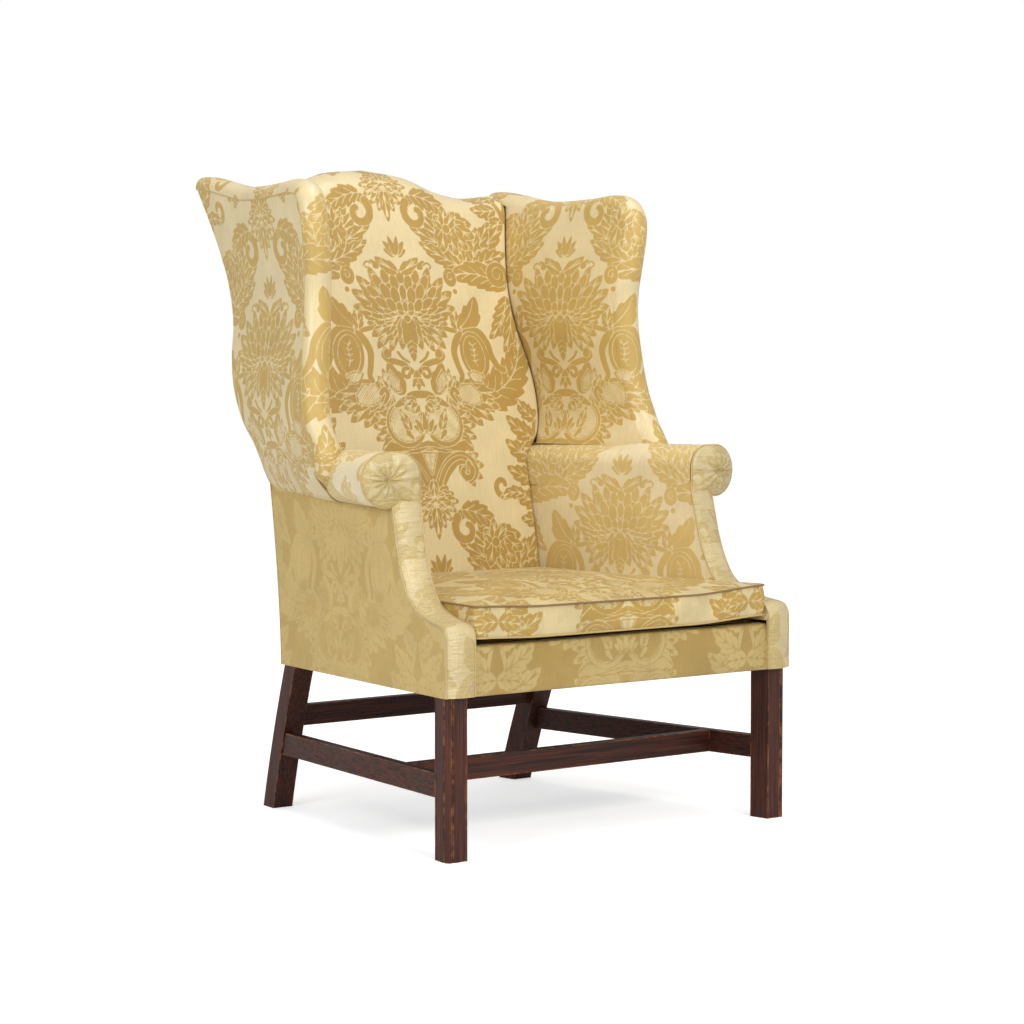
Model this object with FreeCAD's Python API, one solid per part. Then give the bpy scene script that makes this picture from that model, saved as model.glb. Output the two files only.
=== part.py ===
import FreeCAD, Part
import os

# Wingback armchair with a loose seat cushion, in millimetres.
# X runs to the viewer's right, Y runs back from the front legs and Z runs up from the floor.
# The chair faces -Y. Everything is drawn with Y counted from the front face of the front legs,
# and is moved at the end so that the origin lies on the floor under the middle of the chair.

Vector = FreeCAD.Vector

# Overall sizes
overall_height = 1148.0
front_width = 737.0
rear_width = 594.0
seat_depth = 582.0
lower_rake = 55.0
upper_rake = 145.0

# Heights
rail_bottom = 262.0
rail_top = 330.0
front_post_top = 368.0
arm_height = 644.0
crease_height = 556.0
trough_drop = 44.0
ear_drop = 27.0
wing_top_drop = 52.0

# Thicknesses of the layers, from outside to inside
cover = 3.0
frame_board = 28.0
wing_member = 42.0
block_rise = 4.0
arm_thickness = 52.0
wing_thickness = 50.0
back_thickness = 58.0
roll_over = 24.0
gap = 0.3

# Legs and stretchers
front_leg = 39.6
rear_leg = 40.0
rear_leg_inset = 1.5
rear_leg_setback = 48.0
rear_leg_splay = 89.0
rear_leg_knee = 46.0
leg_bead = 9.0
leg_hollow = 3.0
leg_reed_margin = 4.0
leg_hollow_depth = 1.8
stretcher_thick = 18.0
stretcher_height = 39.0
side_stretcher_top = 139.0
cross_stretcher_front = 152.0
rear_stretcher_top = 186.0
tenon_length = 16.0
tenon_shoulder = 5.0
stretcher_inset = 1.0
cross_tenon_depth = 7.0
rail_tenon_front = 9.0
rail_tenon_back = 19.0
rail_tenon_bottom = 14.0
rail_tenon_top = 12.0
side_tenon_lift = 6.0

# Arms
arm_scroll_radius = 45.0
arm_scroll_front = 175.0
arm_scroll_overhang = 56.0
rear_roll_radius = 43.0
rear_roll_overhang = 4.0
arm_top_radius = 40.0
arm_post_depth = 48.0
arm_rail_height = 34.0
stuffing_rail_bottom = 55.0
stuffing_rail_top = 95.0

# Back
stile_width = 34.0
crest_rail_height = 55.0
lower_rail_rise = 75.0
lower_rail_height = 45.0
back_web_pitch = 92.0
back_web_inset = 12.0
seat_web_pitch = 98.0

# Seat and cushion
webbing_width = 50.0
webbing_thick = 1.5
hessian_thick = 1.0
deck_pad = 11.0
deck_cover = 2.0
deck_setback = 26.0
cushion_overhang = 9.0
cushion_border = 52.0
cushion_crown = 27.0
cushion_drawn_in = 3.0
piping = 4.0
side_clearance = 1.0
back_clearance = 3.0

# Fastenings
screw_radius = 2.3
screw_head_radius = 4.6
screw_head = 3.0
screw_bite = 15.0
screw_share = 0.18
block_leg = 62.0
block_height = 45.0
block_lift = 12.0
screw_stagger = 9.0
tack_head_radius = 5.0
tack_head = 1.2
tack_shank_radius = 1.0
tack_length = 9.0
tacks_per_side = 6
dust_cover_thick = 1.0
dust_cover_margin = 10.0

reach = 2.0 * overall_height
taper = (front_width - rear_width) / 2.0 / seat_depth
rear_most = seat_depth + lower_rake + upper_rake
middle_y = (rear_most - cushion_overhang) / 2.0
pad_clearance = 2.0
stile_front = cover + gap + frame_board + pad_clearance
rear_leg_front = seat_depth - cover - gap - rear_leg_setback
hessian_front = stile_front + webbing_thick + hessian_thick + 2.0 * gap


def smooth_value(points, u):
    """Height of a smooth curve through the points at u, level past its ends."""
    if u <= points[0][0]:
        return points[0][1]
    if u >= points[-1][0]:
        return points[-1][1]
    last = len(points) - 1
    i = max(k for k in range(last) if points[k][0] <= u)

    def slope(k):
        low, high = max(k - 1, 0), min(k + 1, last)
        return (points[high][1] - points[low][1]) / (points[high][0] - points[low][0])

    (u0, v0), (u1, v1) = points[i], points[i + 1]
    span = u1 - u0
    t = (u - u0) / span
    return (
        v0 * (2 * t ** 3 - 3 * t ** 2 + 1)
        + v1 * (3 * t ** 2 - 2 * t ** 3)
        + slope(i) * span * (t ** 3 - 2 * t ** 2 + t)
        + slope(i + 1) * span * (t ** 3 - t ** 2)
    )


def side(y):
    """Half the chair's width over the side covers at depth y."""
    return front_width / 2.0 - taper * y


def rear(z):
    """Depth of the outside back at height z: a curve up to the arms, then a straight rake."""
    if z <= rail_bottom:
        return seat_depth
    if z < arm_height:
        return seat_depth + lower_rake * ((z - rail_bottom) / (arm_height - rail_bottom)) ** 1.6
    return seat_depth + lower_rake + upper_rake * (z - arm_height) / (overall_height - arm_height)


def upper(share):
    """Height at a share of the way from the arm top to the crest."""
    return arm_height + share * (overall_height - arm_height)


# Outward swing of the serpentine side of the back, past the straight side line, by height
back_swing = [
    (crease_height, 0.0),
    (crease_height + 44.0, 9.0),
    (upper(0.0), 23.0),
    (upper(0.09), 42.0),
    (upper(0.2), 51.0),
    (upper(0.31), 47.0),
    (upper(0.43), 35.0),
    (upper(0.56), 34.0),
    (upper(0.68), 44.0),
    (upper(0.79), 58.0),
    (upper(0.9), 74.0),
    (upper(1.0), 84.0),
]

# Half the chair's width over the leading edges of the wings, past the front legs, by height
wing_flare = [
    (crease_height, 2.0),
    (upper(0.0), 8.0),
    (upper(0.09), 14.0),
    (upper(0.2), 10.0),
    (upper(0.31), 4.0),
    (upper(0.43), -1.0),
    (upper(0.56), -1.5),
    (upper(0.68), 4.0),
    (upper(0.79), 10.0),
    (upper(0.9), 10.5),
    (upper(1.0), 10.5),
]

wing_front = 370.0

# Crest line of the back: distance from the middle and drop from the highest point
crest = [
    (0.0, 0.0),
    (88.0, 10.0),
    (152.0, 33.0),
    (215.0, trough_drop),
    (280.0, 38.0),
    (345.0, ear_drop),
]

# Leading and top edge of a wing in side view
wing_edge = [
    (300.0, crease_height - 4.0),
    (306.0, arm_height - 34.0),
    (318.0, arm_height),
    (349.0, upper(0.09)),
    (368.0, upper(0.2)),
    (378.0, upper(0.36)),
    (380.0, upper(0.5)),
    (373.0, upper(0.65)),
    (370.0, upper(0.76)),
    (377.0, upper(0.835)),
    (399.0, upper(0.887)),
    (440.0, overall_height - wing_top_drop + 3.0),
    (490.0, overall_height - wing_top_drop),
    (555.0, overall_height - wing_top_drop - 2.0),
    (612.0, overall_height - wing_top_drop),
    (668.0, overall_height - 0.8 * wing_top_drop),
    (722.0, overall_height - ear_drop - 4.0),
    (760.0, overall_height - ear_drop),
]

# Front edge of an arm in side view, from the top of the post to the neck of the scroll
arm_edge = [
    (-cover, front_post_top),
    (45.0, front_post_top + 11.0),
    (94.0, front_post_top + 27.0),
    (123.0, front_post_top + 50.0),
    (142.0, front_post_top + 82.0),
    (156.0, front_post_top + 120.0),
    (167.0, front_post_top + 158.0),
    (arm_scroll_front, crease_height + 4.0),
]


def half_back(z):
    """Half the width of the outside back at height z."""
    return side(rear(z)) + smooth_value(back_swing, z)


def spline(points):
    curve = Part.BSplineCurve()
    curve.interpolate(points)
    return curve.toShape()


def line(a, b):
    return Part.LineSegment(a, b).toShape()


def solid_from(edges, direction):
    """Extrude the closed outline that the edges make."""
    return Part.Face(Part.Wire(edges)).extrude(direction)


def polygon_solid(points, direction):
    return Part.Face(Part.makePolygon(points + points[:1])).extrude(direction)


def box(x0, x1, y0, y1, z0, z1):
    return Part.makeBox(x1 - x0, y1 - y0, z1 - z0, Vector(x0, y0, z0))


def side_slab(b0, b1):
    """Upright slab on the right-hand side, from b0 to b1 inside the side cover's face."""
    y0, y1 = -100.0, rear_most + 100.0
    corners = [(side(y0) - b0, y0), (side(y1) - b0, y1), (side(y1) - b1, y1), (side(y0) - b1, y0)]
    return polygon_solid([Vector(x, y, -10.0) for x, y in corners], Vector(0, 0, reach))


def ahead_of_back(d):
    """Everything more than d in front of the outside back."""
    levels = [rail_bottom + k * (arm_height - rail_bottom) / 4.0 for k in range(5)]
    curve = spline([Vector(-reach, rear(z) - d, z) for z in levels])
    low = Vector(-reach, seat_depth - d, -10.0)
    elbow = Vector(-reach, rear(levels[-1]) - d, levels[-1])
    top_z = overall_height + 100.0
    high = Vector(-reach, rear(top_z) - d, top_z)
    front_low = Vector(-reach, -200.0, -10.0)
    front_high = Vector(-reach, -200.0, top_z)
    start = Vector(-reach, rear(rail_bottom) - d, rail_bottom)
    edges = [
        line(front_low, low),
        line(low, start),
        curve,
        line(elbow, high),
        line(high, front_high),
        line(front_high, front_low),
    ]
    return solid_from(edges, Vector(2.0 * reach, 0, 0))


def back_slab(d0, d1):
    """Layer of the back between d0 and d1 in front of its outer face."""
    return ahead_of_back(d0).cut(ahead_of_back(d1))


def crest_height(x):
    return overall_height - smooth_value(crest, abs(x))


def back_outline(inset, drop, bottom=rail_bottom):
    """Prism along Y with the back's outline in front view, drawn in by inset and lowered by drop."""
    top_z = crest_height(half_back(overall_height)) - drop
    step = (top_z - crease_height) / 11.0
    levels = [crease_height + k * step for k in range(12)]
    right = [Vector(half_back(z) - inset, -reach, z) for z in levels]
    corner_x = right[-1].x
    across = [corner_x * (1.0 - k / 8.0) for k in range(17)]
    top = [Vector(x, -reach, crest_height(x) - drop) for x in across]
    top[0] = right[-1]
    top[-1] = Vector(-corner_x, -reach, right[-1].z)
    left = [Vector(-p.x, p.y, p.z) for p in reversed(right)]
    low_x = side(rear(bottom)) - inset
    low_right = Vector(low_x, -reach, bottom)
    low_left = Vector(-low_x, -reach, bottom)
    edges = [
        line(low_left, low_right),
        line(low_right, right[0]),
        spline(right),
        spline(top),
        spline(left),
        line(left[-1], low_left),
    ]
    return solid_from(edges, Vector(0, 2.0 * reach, 0))


def wing_slab(b0, b1):
    """Serpentine upright slab on the right-hand side, from b0 to b1 inside the wing's outer face."""
    levels = [crease_height - 30.0, crease_height] + [upper(k / 9.0) for k in range(10)]
    levels.append(overall_height + 40.0)
    sections = []
    for z in levels:
        back_x = half_back(z)
        front_x = front_width / 2.0 + smooth_value(wing_flare, z)
        lean = (front_x - back_x) / (rear(z) - wing_front)
        y0, y1 = 240.0, rear(z) + 30.0
        x0 = back_x + lean * (rear(z) - y0)
        x1 = back_x + lean * (rear(z) - y1)
        corners = [(x0 - b0, y0), (x1 - b0, y1), (x1 - b1, y1), (x0 - b1, y0)]
        points = [Vector(x, y, z) for x, y in corners]
        sections.append(Part.makePolygon(points + points[:1]))
    return Part.makeLoft(sections, True, False)


def wing_outline(inset):
    """Prism along X with the wing's outline in side view, its front and top edges drawn in."""
    points = [Vector(-reach, y + inset, z - inset) for y, z in wing_edge]
    end = Vector(-reach, reach, points[-1].z)
    low = Vector(-reach, reach, points[0].z)
    edges = [spline(points), line(points[-1], end), line(end, low), line(low, points[0])]
    return solid_from(edges, Vector(2.0 * reach, 0, 0))


def arm_outline(inset, bottom, top):
    """Prism along X behind the arm's front edge, which is drawn in by inset."""
    neck = [Vector(-reach, y + inset, z - inset) for y, z in arm_edge]
    foot = Vector(-reach, neck[0].y, bottom)
    head = Vector(-reach, neck[-1].y, top)
    back_high = Vector(-reach, rear_most, top)
    back_low = Vector(-reach, rear_most, bottom)
    edges = [
        line(foot, neck[0]),
        spline(neck),
        line(neck[-1], head),
        line(head, back_high),
        line(back_high, back_low),
        line(back_low, foot),
    ]
    return solid_from(edges, Vector(2.0 * reach, 0, 0))


def scroll_centre(y):
    """Centre and radius of the arm roll at depth y, on the right-hand side."""
    share = (y - arm_scroll_front) / (rear(arm_height) - arm_scroll_front)
    radius = arm_scroll_radius + share * (rear_roll_radius - arm_scroll_radius)
    overhang = arm_scroll_overhang + share * (rear_roll_overhang - arm_scroll_overhang)
    return Vector(side(y) + overhang - radius, y, arm_height - radius), radius


def arm_roll_solid(y0, y1, grow=0.0):
    rings = []
    for y in (y0, y1):
        centre, radius = scroll_centre(y)
        rings.append(Part.Wire([Part.makeCircle(radius + grow, centre, Vector(0, 1, 0))]))
    return Part.makeLoft(rings, True, True)


def arm_top_solid(y0, y1, grow=0.0):
    """Rounded top of the inside arm, beside the roll."""
    rings = []
    for y in (y0, y1):
        across = side(y) - arm_thickness + arm_top_radius
        centre = Vector(across, y, arm_height - arm_top_radius)
        circle = Part.makeCircle(arm_top_radius + grow, centre, Vector(0, 1, 0))
        rings.append(Part.Wire([circle]))
    return Part.makeLoft(rings, True, True)


def mirrored(shape):
    return shape.mirror(Vector(0, 0, 0), Vector(1, 0, 0))


def pair(nodes, name, right):
    nodes[name + "_right"] = right
    nodes[name + "_left"] = mirrored(right)


def sheared(x, y):
    """Point at x in from the side line and y back, following the chair's taper."""
    return Vector(side(y) - x, y, 0)


def front_leg_solid():
    """Square leg with a corner bead, a hollow and a broad reed on each outer face."""
    out = cover + gap
    bead = leg_bead
    reed_start = bead + leg_hollow
    reed_end = front_leg - leg_reed_margin
    bead_round = bead * (1.0 - 0.5 ** 0.5)

    def edge_run(place):
        hollow_middle = place(bead + leg_hollow / 2.0, leg_hollow_depth)
        hollow_run = [place(bead, 0.0), hollow_middle, place(reed_start, 0.0)]
        reed_middle = place((reed_start + reed_end) / 2.0, 0.0)
        reed_run = [place(reed_start, 0.0), reed_middle, place(reed_end, 0.6 * leg_hollow_depth)]
        return hollow_run, reed_run

    def front_face(along, deep):
        return sheared(out + along, deep)

    def outer_face(along, deep):
        return sheared(out + deep, along)

    hollow_front, reed_front = edge_run(front_face)
    hollow_side, reed_side = edge_run(outer_face)
    corner = [front_face(bead, 0.0), sheared(out + bead_round, bead_round), outer_face(bead, 0.0)]

    def arc(p):
        return Part.Arc(p[0], p[1], p[2]).toShape()

    inner_front = front_face(front_leg, 0.0)
    inner_rear = sheared(out + front_leg, front_leg)
    outer_rear = outer_face(front_leg, 0.0)
    edges = [
        arc(corner),
        arc(hollow_side),
        arc(reed_side),
        line(reed_side[2], outer_rear),
        line(outer_rear, inner_rear),
        line(inner_rear, inner_front),
        line(inner_front, reed_front[2]),
        arc(reed_front[::-1]),
        arc(hollow_front[::-1]),
    ]
    moulded = solid_from(edges, Vector(0, 0, rail_bottom))
    corners = [sheared(out, 0.0), outer_rear, inner_rear, inner_front]
    block_top = front_post_top - cover - gap
    block = polygon_solid(corners, Vector(0, 0, block_top - rail_bottom))
    block.translate(Vector(0, 0, rail_bottom))
    return moulded.fuse(block).removeSplitter()


def rear_leg_solid():
    """Raked leg below the rail, with a plain block inside the seat frame."""
    front_points = [
        Vector(0, rear_leg_front + rear_leg_splay, 0),
        Vector(0, rear_leg_front + rear_leg_knee, side_stretcher_top),
        Vector(0, rear_leg_front, rail_bottom),
    ]
    rear_points = [p + Vector(0, rear_leg, 0) for p in front_points]
    front_arc = Part.Arc(*front_points).toShape()
    rear_arc = Part.Arc(*rear_points).toShape()
    edges = [
        front_arc,
        line(front_points[2], rear_points[2]),
        rear_arc,
        line(rear_points[0], front_points[0]),
    ]
    inner_line = rear_leg + rear_leg_inset
    raked = solid_from(edges, Vector(reach, 0, 0)).common(side_slab(rear_leg_inset, inner_line))
    block_back = seat_depth - cover - gap
    block = side_slab(cover + gap, inner_line).common(
        box(0, reach, rear_leg_front, block_back, rail_bottom, rail_top + block_rise)
    )
    return raked.fuse(block).removeSplitter()


def tenoned(bar, tongue, posts):
    """Bar cut to length between its posts with a tongue into each, and the posts mortised."""
    body = bar
    for post in posts:
        body = body.cut(post)
    body = body.fuse(tongue).removeSplitter()
    return body, [post.cut(tongue) for post in posts]


def leg_frame(nodes):
    """Legs, stretchers and seat rails, mortised and tenoned together."""
    front = front_leg_solid()
    back = rear_leg_solid()
    leg_back = front_leg
    leg_inner = cover + gap + front_leg
    rear_front = rear_leg_front

    z1 = side_stretcher_top
    z0 = z1 - stretcher_height
    outer = cover + gap + stretcher_inset
    run = box(0, reach, leg_back - 2.0, rear_front + rear_leg_splay, z0, z1)
    bar = side_slab(outer, outer + stretcher_thick).common(run)
    foot_end = rear_front + rear_leg_knee + rear_leg / 2.0
    tongue_run = box(
        0, reach, leg_back - tenon_length, foot_end, z0 + tenon_shoulder, z1 - tenon_shoulder
    )
    tongue = side_slab(outer + tenon_shoulder, outer + stretcher_thick - tenon_shoulder)
    bar = bar.common(box(0, reach, 0, foot_end, z0, z1))
    stretcher, (front, back) = tenoned(bar, tongue.common(tongue_run), [front, back])

    cross_y = cross_stretcher_front
    inner_line = outer + stretcher_thick
    cross_z0, cross_z1 = z0 + 0.5, z1 - 0.5
    cross = box(-reach, reach, cross_y, cross_y + stretcher_thick, cross_z0, cross_z1)
    middle_region = side_slab(inner_line, reach)
    cross_half = cross.common(middle_region).common(box(0, reach, 0, reach, 0, reach))
    key_y0, key_y1 = cross_y + 4.0, cross_y + stretcher_thick - 4.0
    key = box(0, reach, key_y0, key_y1, z0 + tenon_shoulder + 1.0, z1 - tenon_shoulder - 1.0)
    key = key.common(side_slab(inner_line - cross_tenon_depth, reach))
    cross_half = cross_half.fuse(key).removeSplitter()
    stretcher = stretcher.cut(key)
    nodes["cross_stretcher"] = cross_half.fuse(mirrored(cross_half)).removeSplitter()
    pair(nodes, "side_stretcher", stretcher)

    rz1 = rear_stretcher_top
    rz0 = rz1 - stretcher_height + 2.0
    rear_y = rear_front + rear_leg_knee + 4.0
    rear_bar = box(0, reach, rear_y, rear_y + stretcher_thick, rz0, rz1)
    leg_line = rear_leg_inset + rear_leg
    rear_bar = rear_bar.common(side_slab(leg_line - tenon_length, reach))
    rear_tongue = box(
        0, reach, rear_y + tenon_shoulder, rear_y + stretcher_thick - tenon_shoulder,
        rz0 + tenon_shoulder, rz1 - tenon_shoulder,
    ).common(side_slab(leg_line - tenon_length, reach))
    rear_half, (back,) = tenoned(rear_bar, rear_tongue, [back])
    nodes["rear_stretcher"] = rear_half.fuse(mirrored(rear_half)).removeSplitter()

    t0, t1 = rail_bottom + rail_tenon_bottom, rail_top - rail_tenon_top
    front_bar = box(0, reach, 0, frame_board, rail_bottom, rail_top).common(
        side_slab(leg_inner - tenon_length, reach)
    )
    front_tongue = box(0, reach, rail_tenon_front, rail_tenon_back, t0, t1).common(
        side_slab(leg_inner - tenon_length, reach)
    )
    front_half, (front,) = tenoned(front_bar, front_tongue, [front])
    front_rail = front_half.fuse(mirrored(front_half)).removeSplitter()

    side_run = box(0, reach, leg_back - 2.0, rear_front + 2.0, rail_bottom, rail_top)
    side_bar = side_slab(cover + gap, cover + gap + frame_board).common(side_run)
    side_z0, side_z1 = t0 + side_tenon_lift, t1 + side_tenon_lift
    side_tongue = side_slab(cover + gap + rail_tenon_front, cover + gap + rail_tenon_back).common(
        box(0, reach, leg_back - tenon_length, rear_front + tenon_length, side_z0, side_z1)
    )
    front_tongue_clear = side_tongue.cut(front_tongue)
    side_rail, (front, back) = tenoned(side_bar, front_tongue_clear, [front, back])

    rail_y1 = seat_depth - cover - gap
    rail_y0 = rail_y1 - frame_board
    rear_bar = box(0, reach, rail_y0, rail_y1, rail_bottom, rail_top).common(
        side_slab(leg_line - tenon_length, reach)
    )
    tongue_y0, tongue_y1 = rail_y0 + rail_tenon_front, rail_y0 + rail_tenon_back
    rear_tongue = box(0, reach, tongue_y0, tongue_y1, t0, t1).common(
        side_slab(leg_line - tenon_length + 2.0, reach)
    )
    rear_half, (back,) = tenoned(rear_bar, rear_tongue, [back])
    rear_rail = rear_half.fuse(mirrored(rear_half)).removeSplitter()

    pair(nodes, "front_leg", front)
    pair(nodes, "rear_leg", back)
    nodes["front_seat_rail"] = front_rail
    nodes["rear_seat_rail"] = rear_rail
    pair(nodes, "side_seat_rail", side_rail)


def corner_blocks(nodes):
    """Glued triangular blocks in the seat frame's corners, each held by two screws."""
    z0 = rail_bottom + block_lift
    z1 = z0 + block_height
    recess_length = 30.0
    inner = cover + gap + frame_board
    y0, y1 = frame_board, seat_depth - cover - gap - frame_board
    legs = [nodes["front_leg_right"], nodes["rear_leg_right"]]
    blocks, screws = [], []
    for y_edge, way in ((y0, 1.0), (y1, -1.0)):
        corner = Vector(side(y_edge) - inner, y_edge, z0)
        on_rail = Vector(corner.x - block_leg, y_edge, z0)
        y_far = y_edge + way * block_leg
        on_side = Vector(side(y_far) - inner, y_far, z0)
        block = polygon_solid([corner, on_rail, on_side], Vector(0, 0, block_height))
        for leg in legs:
            block = block.cut(leg)
        z_mid = (z0 + z1) / 2.0
        in_by = screw_share * block_leg
        into_rail = Vector(on_rail.x + in_by, y_edge + way * in_by, z_mid - screw_stagger)
        into_side = Vector(on_side.x - in_by, on_side.y - way * in_by, z_mid + screw_stagger)
        for start, direction in ((into_rail, Vector(0, -way, 0)), (into_side, Vector(1, 0, 0))):
            length = in_by + screw_bite
            shank = Part.makeCylinder(screw_radius, length, start, direction)
            head = Part.makeCylinder(screw_head_radius, screw_head, start, direction)
            screw = shank.fuse(head).removeSplitter()
            recess = Part.makeCylinder(
                screw_head_radius, recess_length, start - direction * recess_length, direction
            )
            block = block.cut(screw).cut(recess)
            screws.append(screw)
        blocks.append(block)
    for name in ("front_seat_rail", "rear_seat_rail", "side_seat_rail_right", "side_seat_rail_left"):
        rail = nodes[name]
        for screw in screws:
            rail = rail.cut(screw).cut(mirrored(screw))
        nodes[name] = rail
    nodes["corner_blocks"] = Part.makeCompound(blocks + [mirrored(b) for b in blocks])
    nodes["corner_block_screws"] = Part.makeCompound(screws + [mirrored(s) for s in screws])


def back_frame(nodes):
    """Stiles on top of the rear legs, with a crest rail and a lower rail between them."""
    layer = back_slab(cover + gap, stile_front)
    inset = cover + gap
    drop = roll_over + gap
    outer = back_outline(inset, drop, rail_top + block_rise)
    inner = back_outline(inset + stile_width, -2.0 * roll_over - 12.0, rail_top - 20.0)
    ring = layer.common(outer)
    stiles = ring.cut(inner)
    right_half = box(0, reach, -10, reach, 0, reach)
    pair(nodes, "back_stile", stiles.common(right_half).cut(wing_slab(-reach, inset)))
    rails = ring.common(inner)
    under_crest = drop + crest_rail_height
    below_crest = back_outline(inset + stile_width - 15.0, under_crest, rail_bottom - 50.0)
    nodes["crest_rail"] = biggest(rails.cut(below_crest))
    z0 = rail_top + lower_rail_rise
    low = box(-reach, reach, 0, reach, z0, z0 + lower_rail_height)
    nodes["lower_back_rail"] = rails.common(low)
    web_front = stile_front + gap + webbing_thick
    web = back_slab(stile_front + gap, web_front)
    strips = []
    window = back_outline(inset + frame_board + 1.0, drop + back_web_inset, z0 + 5.0)
    for k in range(-2, 3):
        x = k * back_web_pitch
        strips.append(web.common(window).common(
            box(x - webbing_width / 2.0, x + webbing_width / 2.0, 0, reach, 0, reach)
        ))
    nodes["back_webbing"] = Part.makeCompound(strips)
    sheet = back_slab(web_front + gap, hessian_front)
    nodes["back_hessian"] = sheet.common(window)


def back_covers(nodes):
    """Outside back panel, and the inside back's stuffing and cover that roll over the crest."""
    drop = roll_over + gap
    panel = back_slab(0.0, cover)
    nodes["outside_back_cover"] = panel.common(back_outline(0.0, drop))
    inset = wing_thickness + gap
    outline = back_outline(inset, 0.0, rail_top + 20.0)
    wing_room = wing_slab(-reach, inset)
    body = back_slab(0.0, back_thickness).common(outline).cut(wing_room).cut(mirrored(wing_room))
    hollow = back_slab(-5.0, hessian_front + gap).common(back_outline(-20.0, roll_over - 1.5, 0.0))
    nodes["inside_back"] = body.cut(hollow)


def wings(nodes):
    """Wing post and rail, the outside wing panel and the stuffed inside wing round them."""
    full = wing_slab(0.0, wing_thickness).common(wing_outline(0.0))
    long_run = (arm_scroll_front - 40.0, rear(arm_height) + 60.0)
    roll = arm_roll_solid(*long_run, gap).fuse(arm_top_solid(*long_run, gap))
    above_roll = box(-reach, reach, -reach, reach, arm_height - 40.0, 2.0 * reach)
    frame_inset = roll_over + gap
    board = wing_slab(cover + gap, cover + gap + frame_board).common(wing_outline(frame_inset))
    board = board.common(ahead_of_back(stile_front)).common(above_roll).cut(roll)
    member = board.cut(wing_outline(frame_inset + wing_member))
    rail_part = box(-reach, reach, -reach, reach, upper(0.8), 2.0 * reach)
    pair(nodes, "wing_rail", member.common(rail_part))
    pair(nodes, "wing_post", member.cut(rail_part))
    hessian = nodes["back_hessian"]
    member_room = wing_slab(-gap, cover + frame_board + 2.0 * gap).cut(
        wing_outline(frame_inset + wing_member + gap)
    )
    nodes["back_hessian"] = hessian.cut(member_room).cut(mirrored(member_room))

    panel = wing_slab(0.0, cover).common(wing_outline(roll_over + gap))
    panel = panel.common(ahead_of_back(cover + gap)).common(above_roll).cut(roll)
    pair(nodes, "outside_wing", panel)

    hollow = wing_slab(-5.0, cover + frame_board + 2.0 * gap).common(wing_outline(roll_over))
    pad = full.cut(hollow).common(above_roll).cut(roll)
    frame_layer = back_slab(-5.0, hessian_front + gap)
    behind = frame_layer.common(
        box(0, reach, 0, reach, 0, overall_height - wing_top_drop - 2.0)
    )
    behind_top = frame_layer.common(back_outline(-20.0, roll_over - 1.5, 0.0))
    pad = pad.common(ahead_of_back(0.0)).cut(behind).cut(behind_top)
    pair(nodes, "inside_wing", biggest(pad))


def biggest(shape):
    return max(shape.Solids, key=lambda solid: solid.Volume)


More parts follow.
